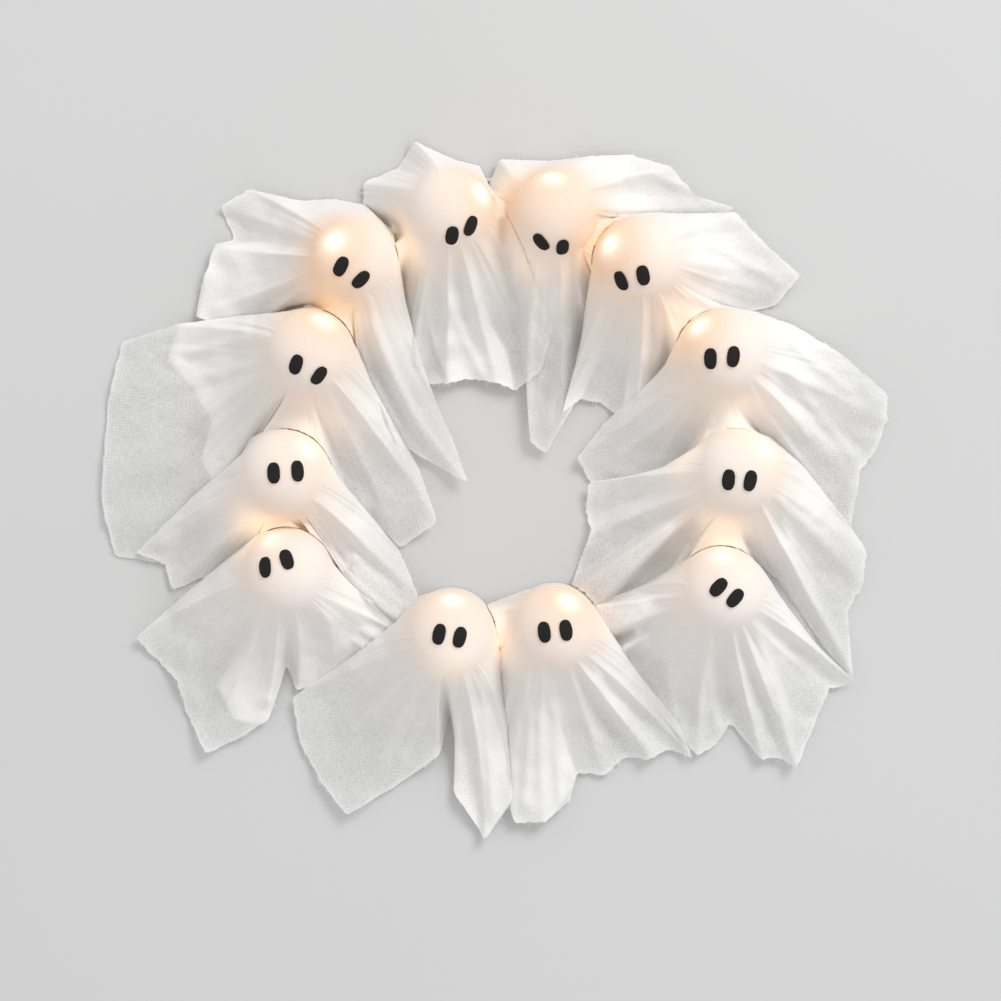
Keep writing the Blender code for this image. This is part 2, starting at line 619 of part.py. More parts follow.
def build_battery_unit(unit):
    """Case, door, screw, cells, contacts and switch, in the frame of the empty that places them."""
    half_length, half_width = CASE_LENGTH / 2, CASE_WIDTH / 2
    bay_left = -half_length + CASE_WALL
    bay_right = bay_left + BAY_LENGTH
    switch_left = bay_right + CASE_WALL
    switch_right = half_length - CASE_WALL
    inner = half_width - CASE_WALL
    floor = DOOR_THICK + GAP
    roof = CASE_HEIGHT - CASE_TOP
    case = box(
        "battery_case", (-half_length, -half_width, 0), (half_length, half_width, CASE_HEIGHT),
        CASE_PLASTIC, parent=unit,
    )
    round_edges(case, CASE_ROUNDING)

    def cut(name, low, high):
        combine(case, as_cutter(box(name, low, high, CASE_PLASTIC, CUTTERS, unit)), "DIFFERENCE")

    cut("cell bay", (bay_left, -inner, -PAST), (bay_right, inner, roof))
    cut("switch bay", (switch_left, -inner, -PAST), (switch_right, inner, roof))
    cut(
        "door recess", (-half_length + DOOR_LEDGE, -half_width + DOOR_LEDGE, -PAST),
        (half_length - DOOR_LEDGE, half_width - DOOR_LEDGE, floor),
    )
    slot_height = floor + FLANGE_WIDTH / 2 + SLOT_ABOVE_FLANGE
    slot_half = (KNOB_LENGTH + SWITCH_TRAVEL) / 2 + GAP
    knob_half = KNOB_WIDTH / 2
    cut(
        "switch slot", (switch_right - PAST, -slot_half, slot_height - knob_half - GAP),
        (half_length + PAST, slot_half, slot_height + knob_half + GAP),
    )
    mouth = lead_mouth()
    cut(
        "lead hole", (mouth.x - MOUTH_HALF, -half_width - PAST, mouth.z - MOUTH_HALF),
        (mouth.x + MOUTH_HALF, -inner + PAST, mouth.z + MOUTH_HALF),
    )
    for index, ring in enumerate((INNER_RAISED, OUTER_RAISED)):
        reach = WIRE_RADIUS + GAP
        half = reach + CLIP_WALL
        across = ring * RING_FLAT - CASE_RADIUS
        clip = box(
            f"clip {index}", (-CLIP_LENGTH / 2, across - half, CASE_HEIGHT - BOSS_BITE),
            (CLIP_LENGTH / 2, across + half, RAISED_HEIGHT + reach + CLIP_WALL / 2),
            CASE_PLASTIC, CUTTERS, unit,
        )
        combine(case, as_cutter(clip), "UNION")
        bpy.ops.mesh.primitive_cylinder_add(vertices=12, radius=reach, depth=CLIP_LENGTH + 2 * PAST)
        seat = take(bpy.context.object, f"clip seat {index}", CASE_PLASTIC, CUTTERS)
        seat.parent = unit
        seat.rotation_euler = (0, math.pi / 2, 0)
        seat.location = (0, across, RAISED_HEIGHT)
        combine(case, as_cutter(seat), "DIFFERENCE")
        cut(
            f"clip mouth {index}", (-CLIP_LENGTH / 2 - PAST, across - CLIP_MOUTH / 2, RAISED_HEIGHT),
            (CLIP_LENGTH / 2 + PAST, across + CLIP_MOUTH / 2, RAISED_HEIGHT + reach + CLIP_WALL),
        )
    boss_at = (switch_left + BOSS_RADIUS - BOSS_BITE, inner - BOSS_RADIUS + BOSS_BITE, floor)
    boss = cylinder("screw boss", BOSS_RADIUS, boss_at, roof + BOSS_BITE, 12, CASE_PLASTIC, CUTTERS, unit)
    combine(case, as_cutter(boss), "UNION")
    pilot_low = (boss_at[0], boss_at[1], -PAST)
    pilot = cylinder(
        "pilot hole", SCREW_RADIUS + GAP, pilot_low, SCREW_LENGTH + 2 * GAP, 12, CASE_PLASTIC,
        CUTTERS, unit,
    )
    combine(case, as_cutter(pilot), "DIFFERENCE")

    door = box(
        "battery_door", (-half_length + DOOR_LEDGE + GAP, -half_width + DOOR_LEDGE + GAP, 0),
        (half_length - DOOR_LEDGE - GAP, half_width - DOOR_LEDGE - GAP, DOOR_THICK),
        CASE_PLASTIC, parent=unit,
    )
    clear_hole = cylinder(
        "door screw hole", SCREW_RADIUS + GAP, pilot_low, DOOR_THICK + PAST, 12, CASE_PLASTIC,
        CUTTERS, unit,
    )
    sink_depth = SCREW_HEAD_DEPTH + GAP
    sink = cylinder(
        "door screw sink", SCREW_HEAD + GAP, pilot_low, sink_depth, 12, CASE_PLASTIC, CUTTERS, unit
    )
    combine(door, as_cutter(clear_hole), "DIFFERENCE")
    combine(door, as_cutter(sink), "DIFFERENCE")

    screw = turned(
        "door_screw",
        (
            (0, SCREW_LENGTH), (SCREW_RADIUS / 2, SCREW_LENGTH),
            (SCREW_RADIUS, SCREW_LENGTH - SCREW_POINT), (SCREW_RADIUS, SCREW_HEAD_DEPTH),
            (SCREW_HEAD, SCREW_HEAD_DEPTH), (SCREW_HEAD, SCREW_RECESS), (0, SCREW_RECESS),
        ),
        12, STEEL, unit,
    )
    screw.location = (boss_at[0], boss_at[1], 0)

    cell_height = floor + CELL_RADIUS
    for index in range(CELL_COUNT):
        across = (index - (CELL_COUNT - 1) / 2) * CELL_PITCH
        cell = turned(
            f"battery_cell_{index + 1}",
            (
                (0, CELL_LENGTH + CELL_NUB), (NUB_RADIUS, CELL_LENGTH + CELL_NUB),
                (NUB_RADIUS, CELL_LENGTH), (CELL_RADIUS - CELL_EDGE, CELL_LENGTH),
                (CELL_RADIUS, CELL_LENGTH - CELL_EDGE), (CELL_RADIUS, CELL_EDGE),
                (CELL_RADIUS - CELL_EDGE, 0), (0, 0),
            ),
            12, CELL_SLEEVE, unit,
        )
        facing = 1 if index % 2 == 0 else -1
        cell.rotation_euler = (0, facing * math.pi / 2, 0)
        near = bay_left + CONTACT_THICK + 2 * GAP
        far = bay_right - CONTACT_THICK - 2 * GAP
        cell.location = (near + SPRING_ROOM if facing > 0 else far - SPRING_ROOM, across, cell_height)

    plate_half = inner - GAP
    for name, start in (("contact_plate_left", bay_left + GAP), ("contact_plate_right", bay_right - GAP)):
        end = start + CONTACT_THICK if start < 0 else start - CONTACT_THICK
        plate = box(
            name, (min(start, end), -plate_half, cell_height - CONTACT_HALF),
            (max(start, end), plate_half, cell_height + CONTACT_HALF), STEEL, parent=unit,
        )
        for index in range(CELL_COUNT):
            springy = (index % 2 == 0) == (start < 0)
            if not springy:
                continue
            across = (index - (CELL_COUNT - 1) / 2) * CELL_PITCH
            bpy.ops.mesh.primitive_cone_add(
                vertices=10, radius1=SPRING_WIDE, radius2=SPRING_NARROW,
                depth=SPRING_ROOM + CONTACT_THICK / 2,
            )
            spring = take(bpy.context.object, f"{name} spring {index}", STEEL, CUTTERS)
            spring.parent = unit
            spring.rotation_euler = (0, math.pi / 2 if start < 0 else -math.pi / 2, 0)
            middle = (SPRING_ROOM + CONTACT_THICK / 2) / 2 + CONTACT_THICK / 2
            spring.location = (start + middle if start < 0 else start - middle, across, cell_height)
            combine(plate, as_cutter(spring), "UNION")

    knob_start = -slot_half + GAP
    flange_middle = knob_start + KNOB_LENGTH / 2
    knob = box(
        "switch_knob",
        (
            switch_right - GAP - FLANGE_THICK, flange_middle - FLANGE_LENGTH / 2,
            slot_height - FLANGE_WIDTH / 2,
        ),
        (switch_right - GAP, flange_middle + FLANGE_LENGTH / 2, slot_height + FLANGE_WIDTH / 2),
        KNOB_PLASTIC, parent=unit,
    )
    stem = box(
        "switch stem", (switch_right - PAST, knob_start, slot_height - knob_half),
        (half_length + KNOB_PROUD, knob_start + KNOB_LENGTH, slot_height + knob_half),
        KNOB_PLASTIC, CUTTERS, unit,
    )
    combine(knob, as_cutter(stem), "UNION")
    return case


def rays_of(name):
    """Hem points, lifts and bends of a ghost's gauze, anticlockwise seen from above."""
    rays = [ray if len(ray) == 4 else (*ray, 0) for ray in GHOSTS[name]["rays"]]
    hems = np.array([photo_point(ray[0], ray[1]) for ray in rays])
    lifts = np.array([ray[2] for ray in rays], float)
    bends = np.array([ray[3] for ray in rays], float) * PHOTO_SCALE
    return hems, lifts, bends


def spread_angles(angles, passes=10):
    """Directions at which the rays leave the dome: those of the hem points, evened out."""
    angles = np.unwrap(angles)
    whole = 2 * math.pi
    for _ in range(passes):
        before = np.concatenate([[angles[-1] - whole], angles[:-1]])
        after = np.concatenate([angles[1:], [angles[0] + whole]])
        angles = 0.5 * angles + 0.25 * (before + after)
    return angles


def above(name):
    """The balls of the ghosts laid later, which this gauze stops beside."""
    later = LAID[LAID.index(name) + 1:]
    return [CENTRES[other][:2] for other in later]


def skirt_path(name, start, direction, hem, bend, steps=48):
    """A ray's path in plan from the dome's flank to the hem, or to the flank of a ball that is in the way.

    Also says whether a ball is.
    """
    span = hem - start
    length = np.hypot(*span)
    middle = start + span / 2
    if length > 0.001:
        middle = (1 - HEADWAY) * middle + HEADWAY * (start + direction * length / 2)
        middle = middle + np.array([span[1], -span[0]]) / length * bend
    part = np.linspace(0, 1, steps)[:, None]
    path = (1 - part) ** 2 * start + 2 * part * (1 - part) * middle + part ** 2 * hem
    blocked = False
    for ball in above(name):
        inside = np.hypot(*(path - ball).T) < DOME_RADIUS + GAUZE_THICK + HEM_ROOM
        if inside[1:].any():
            path = path[: max(2, int(np.argmax(inside[1:])) + 1)]
            blocked = True
    return path, blocked


def along(path, parts):
    """Points at the given parts of a plan path's length, and the length run to each."""
    steps = np.hypot(*np.diff(path, axis=0).T)
    run = np.concatenate([[0], np.cumsum(steps)])
    wanted = np.array(parts) * run[-1]
    points = np.stack([np.interp(wanted, run, path[:, axis]) for axis in (0, 1)], 1)
    return points, wanted


def fall(run, total, lift, top, bridging):
    """Height of a ray at a run from the head's axis: the dome, then a curve that flattens to the hem.

    A ray that ends right at the head's flank hangs straight down from there.
    """
    free = min((total - FLANK_RADIUS) / OPEN_RUN, 1.0)
    open_angle = VALLEY_ANGLE + (CREST_ANGLE - VALLEY_ANGLE) * lift
    angle = math.radians(TUCKED_ANGLE + (open_angle - TUCKED_ANGLE) * free)
    leave = DOME_RADIUS * math.sin(angle)
    start = top + DOME_RADIUS * math.cos(angle)
    hem = BRIDGE_HEIGHT if bridging else HEM_LOW + HEM_RISE * lift
    power = np.clip(math.tan(angle) * (total - leave) / (start - hem), 1.0, STEEPEST_FALL)
    drop = leave if total > FLANK_RADIUS + HEM_ROOM else FLANK_RADIUS
    part = np.clip((run - drop) / (total - drop), 0, 1)
    on_ball = top + np.sqrt(np.maximum(DOME_RADIUS ** 2 - run ** 2, 0))
    return np.where(run <= leave, on_ball, hem + (start - hem) * (1 - part) ** power)


def gauze_grid(name):
    """The gauze before it is laid: one row of points for each ray, from the dome's top to the hem."""
    centre = CENTRES[name]
    hems, lifts, bends = rays_of(name)
    offsets = hems - centre[:2]
    angles = spread_angles(np.arctan2(offsets[:, 1], offsets[:, 0]))
    grid = []
    for hem, lift, bend, angle in zip(hems, lifts, bends, angles):
        direction = np.array([math.cos(angle), math.sin(angle)])
        start = centre[:2] + direction * FLANK_RADIUS
        if np.hypot(*(hem - centre[:2])) < DOME_RADIUS + HEM_ROOM:
            hem = start + direction * TUCK
        path, blocked = skirt_path(name, start, direction, hem, bend)
        skirt, run = along(path, SKIRT_ROWS)
        dome = DOME_RADIUS * np.sin(np.radians(DOME_ROWS))
        plan = np.concatenate([centre[:2] + direction * dome[:, None], skirt])
        runs = np.concatenate([dome, FLANK_RADIUS + run])
        bridging = blocked and runs[-1] > FLANK_RADIUS + HEM_ROOM
        heights = fall(runs, runs[-1], lift, centre[2], bridging)
        grid.append(np.concatenate([plan, heights[:, None]], 1))
    return np.array(grid)


def gauze_faces(columns, rows):
    """Triangles of the grid, with vertex 0 at the dome's top."""
    def index(column, row):
        return 1 + (column % columns) * rows + row

    faces = []
    for column in range(columns):
        faces.append((0, index(column, 0), index(column + 1, 0)))
        for row in range(rows - 1):
            near, far = index(column, row), index(column, row + 1)
            near_next, far_next = index(column + 1, row), index(column + 1, row + 1)
            faces.append((near, far, far_next))
            faces.append((near, far_next, near_next))
    return faces


def outer_side(points, faces):
    """The gauze's points moved out by its thickness.

    Each goes in a direction that all the faces round it look towards, so that no wall of a fold is turned
    inside out: the sum of their normals, pushed on along the normals of the faces that look least that way.
    """
    corners = points[np.array(faces)]
    normals = np.cross(corners[:, 1] - corners[:, 0], corners[:, 2] - corners[:, 0])
    normals /= np.linalg.norm(normals, axis=1)[:, None]
    outer = points.copy()
    for index in range(len(points)):
        around = normals[[number for number, face in enumerate(faces) if index in face]]
        way = around.sum(0)
        for _ in range(FACING_PASSES):
            way /= np.linalg.norm(way)
            facing = around @ way
            way += np.maximum(LEAST_FACING - facing, 0) @ around
        way /= np.linalg.norm(way)
        outer[index] += way * GAUZE_THICK
    return outer


def shell_faces(columns, rows):
    """Triangles of the gauze as a closed shell: outer side, inner side, and the hem's edge between them."""
    faces = gauze_faces(columns, rows)
    count = 1 + columns * rows
    shell = [tuple(count + corner for corner in face) for face in faces]
    shell += [face[::-1] for face in faces]
    for column in range(columns):
        inner = rows * (column + 1)
        inner_next = rows * ((column + 1) % columns + 1)
        shell.append((count + inner_next, count + inner, inner))
        shell.append((count + inner_next, inner, inner_next))
    return shell


def sample_weights(count):
    """Evenly spread weights of a triangle's three corners."""
    return np.array([
        (i / count, j / count, (count - i - j) / count)
        for i in range(count + 1)
        for j in range(count + 1 - i)
    ])


def lay_on(points, faces, below):
    """Lifts the corners of the faces until no sample of them is under what lies below, plus a gap.

    What lies just beside a sample counts too, because the gauze's thickness reaches there on a steep fall.
    A corner only moves straight up, so what lies below a sample stays the same throughout.
    """
    down = Vector((0, 0, -1))
    checks = []
    for corners in faces:
        plan = points[list(corners), :2]
        longest = max(np.hypot(*(plan[k] - plan[k - 1])) for k in range(3))
        weights = sample_weights(max(2, math.ceil(longest / SAMPLE_STEP)))
        floors = np.full(len(weights), -1.0)
        for spot, (x, y) in enumerate(weights @ plan):
            for east, north in ((0, 0), (1, 1), (-1, 1), (-1, -1), (1, -1)):
                above_it = Vector((x + east * BESIDE, y + north * BESIDE, 0.5))
                hit = below.ray_cast(above_it, down)[0]
                if hit is not None:
                    floors[spot] = max(floors[spot], hit.z + DRAPE_GAP)
        if floors.max() > 0:
            checks.append((list(corners), weights, floors))
    for turn in range(DRAPE_PASSES):
        rises = np.zeros(len(points))
        for corners, weights, floors in checks:
            lacking = floors - weights @ points[corners, 2]
            worst = int(np.argmax(lacking))
            if lacking[worst] > 1e-7:
                share = weights[worst] / (weights[worst] ** 2).sum()
                push = share if turn < DRAPE_PASSES / 2 else np.ones(3)
                rises[corners] = np.maximum(rises[corners], lacking[worst] * push)
        if not rises.any():
            break
        points[:, 2] += rises
    return points


def tree_of(objects):
    """One search tree of the faces of these objects, as they are with their modifiers."""
    points, faces = [], []
    for obj in objects:
        mesh = evaluated_mesh(obj)
        start = len(points)
        points += [obj.matrix_world @ vertex.co for vertex in mesh.vertices]
        faces += [[start + i for i in polygon.vertices] for polygon in mesh.polygons]
    return BVHTree.FromPolygons(points, faces)


def build_gauze(name, below):
    """A square of gauze over a head, laid on what is already there."""
    grid = gauze_grid(name)
    columns, rows = grid.shape[:2]
    centre = CENTRES[name]
    top = np.array([[centre[0], centre[1], centre[2] + DOME_RADIUS]])
    points = np.concatenate([top, grid.reshape(-1, 3)])
    faces = gauze_faces(columns, rows)
    points = lay_on(points, faces, tree_of(below))
    shell = np.concatenate([points, outer_side(points, faces)])
    data = bpy.data.meshes.new(f"{name}_gauze")
    data.from_pydata(shell.tolist(), [], shell_faces(columns, rows))
    data.shade_smooth()
    return add_object(f"{name}_gauze", data, GAUZE)


def build_eye(name, number, place, gauze):
    """A felt oval on the dome, bent to its curve."""
    x, y, lean = place
    centre = Vector(CENTRES[name])
    outer = DOME_RADIUS + GAUZE_THICK
    level = photo_point(x, y, centre.z + outer * EYE_LEVEL) - np.array(centre[:2])
    reach = np.hypot(*level)
    outward = Vector((level[0], level[1], math.sqrt(outer ** 2 - reach ** 2))).normalized()
    tilt = math.radians(lean)
    upright = Vector((math.sin(tilt), math.cos(tilt), 0))
    upright = (upright - outward * upright.dot(outward)).normalized()
    across = upright.cross(outward)
    tree = tree_of([gauze])
    sides = 10
    rim = [
        across * EYE_WIDTH / 2 * math.sin(2 * math.pi * k / sides)
        + upright * EYE_LENGTH / 2 * math.cos(2 * math.pi * k / sides)
        for k in range(sides)
    ]
    radius = 0.0
    for part in (0, 0.35, 0.7, 1.0):
        for step in rim:
            ray = (outward * outer + step * part).normalized()
            hit = tree.ray_cast(centre + ray * 0.08, -ray)[0]
            if hit is not None:
                radius = max(radius, (hit - centre).length)
    radius += GAP
    directions = [outward] + [(outward * outer + step).normalized() for step in rim]
    points = [centre + direction * radius for direction in directions]
    faces = [(0, 1 + (k + 1) % sides, 1 + k) for k in range(sides)]
    data = bpy.data.meshes.new(f"{name}_eye_{number}")
    data.from_pydata(points, [], faces)
    eye = add_object(f"{name}_eye_{number}", data, FELT)
    wall = eye.modifiers.new("thickness", "SOLIDIFY")
    wall.thickness = FELT_THICK
    wall.offset = 1.0
    return eye


def build_wreath():
    bpy.ops.object.empty_add(location=ring_point(CASE_RADIUS, CASE_AZIMUTH, 0))
    unit = take(bpy.context.object, "battery_unit", None)
    unit.rotation_euler = (0, 0, math.radians(CASE_AZIMUTH - 90))
    bpy.context.view_layer.update()
    frame = build_frame()
    balls = build_balls()
    lights = build_lights(unit)
    case = build_battery_unit(unit)
    bpy.context.view_layer.update()
    below = [frame, lights, case]
    for name in LAID:
        gauze = build_gauze(name, below + [balls[name]])
        below += [balls[name], gauze]
        for number, place in enumerate(GHOSTS[name]["eyes"], 1):
            build_eye(name, number, place, gauze)


build_wreath()
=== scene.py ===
# %% [markdown]
# # A wreath of lit gauze ghosts
#
# Twelve foam balls sit on a raised wire ring. Each has a square of cotton gauze draped over it, two felt
# ovals for eyes, and one light of a string that runs under all the gauzes. The CAD model gives the plain
# structure. This file dresses it: fine cloth, felt, foam, painted wire, moulded plastic, light and floor.

# %% Load the frame
import math

import bpy
import numpy as np
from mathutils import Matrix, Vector


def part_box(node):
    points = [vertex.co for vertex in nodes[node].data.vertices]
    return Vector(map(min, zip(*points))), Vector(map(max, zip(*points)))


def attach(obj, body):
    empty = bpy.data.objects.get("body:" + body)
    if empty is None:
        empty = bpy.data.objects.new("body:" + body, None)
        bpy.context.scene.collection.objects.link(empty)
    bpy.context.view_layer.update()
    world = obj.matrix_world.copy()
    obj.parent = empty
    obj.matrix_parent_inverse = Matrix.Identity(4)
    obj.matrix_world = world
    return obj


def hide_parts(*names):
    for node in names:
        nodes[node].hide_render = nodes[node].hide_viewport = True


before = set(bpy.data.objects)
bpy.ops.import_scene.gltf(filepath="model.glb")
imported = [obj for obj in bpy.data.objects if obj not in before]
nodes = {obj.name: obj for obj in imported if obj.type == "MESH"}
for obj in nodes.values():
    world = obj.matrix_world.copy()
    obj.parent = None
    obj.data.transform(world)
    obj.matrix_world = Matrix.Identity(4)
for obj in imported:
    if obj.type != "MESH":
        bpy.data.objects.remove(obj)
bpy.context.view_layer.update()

# %% [markdown]
# The photograph looks straight down at the wreath from about 2.2 m. A pixel at floor height is 0.78 mm wide,
# so the lens is found from the width of floor that the picture takes in.

# %% Camera
PHOTO_SCALE = 0.00078
PHOTO_ORIGIN = np.array([494.1, 490.2])
PHOTO_MIDDLE = np.array([500.5, 500.5])
PHOTO_WIDTH = 1001
LENS_HEIGHT = 2.2

lens = bpy.data.cameras.new("camera")
camera = bpy.data.objects.new("camera", lens)
bpy.context.scene.collection.objects.link(camera)
middle = (PHOTO_MIDDLE - PHOTO_ORIGIN) * PHOTO_SCALE
camera.location = (middle[0], -middle[1], LENS_HEIGHT)
lens.sensor_width = 36
lens.lens = lens.sensor_width * LENS_HEIGHT / (PHOTO_WIDTH * PHOTO_SCALE)
lens.clip_start = 0.05
bpy.context.scene.camera = camera
print("lens", round(lens.lens, 1), "mm")


def photo_point(x, y, height=0.0):
    """Place in plan that the photograph shows at pixel x, y, for something at this height.

    Things nearer the lens look larger, so offsets from the picture's middle shrink by 1 - height / 2.2 m.
    """
    pixel = np.stack([np.asarray(x, float), np.asarray(y, float)], -1)
    nearer = (1 - np.asarray(height, float) / LENS_HEIGHT)[..., None]
    offset = (pixel - PHOTO_MIDDLE) * nearer + PHOTO_MIDDLE - PHOTO_ORIGIN
    return offset * PHOTO_SCALE * np.array([1, -1])


# %% [markdown]
# The sizes below are those of the CAD source, so that cloth, felt and beads land on the solids. Angles are
# measured from straight up, and say where the cloth leaves the ball.

# %% Sizes shared with the CAD source
GAP = 0.0003
BALL_RADIUS = 0.030
DOME_RADIUS = 0.0342
FLANK_RADIUS = DOME_RADIUS + 0.0004
EYE_LENGTH = 0.0164
EYE_WIDTH = 0.0100
WIRE_RADIUS = 0.0015
CASE_AZIMUTH = 229.5
RAISED_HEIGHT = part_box("wire_frame")[1][2] - WIRE_RADIUS
CASE_TOP = RAISED_HEIGHT - WIRE_RADIUS - GAP
LEAD_RADIUS = 0.0006
BEAD_PATH = BALL_RADIUS + 2.1 * LEAD_RADIUS + 0.0005
TUCKED_ANGLE = 86.0
VALLEY_ANGLE = 66.0
CREST_ANGLE = 44.0
BRIDGE_HEIGHT = 0.036
NARROW_RISE = 0.022
HEM_RISE = 0.015
HEM_LOW = 0.0004
HEM_ROOM = 0.0018
BESIDE_HEAD = 0.0012
print("raised rings at", round(RAISED_HEIGHT * 1000, 2), "mm")
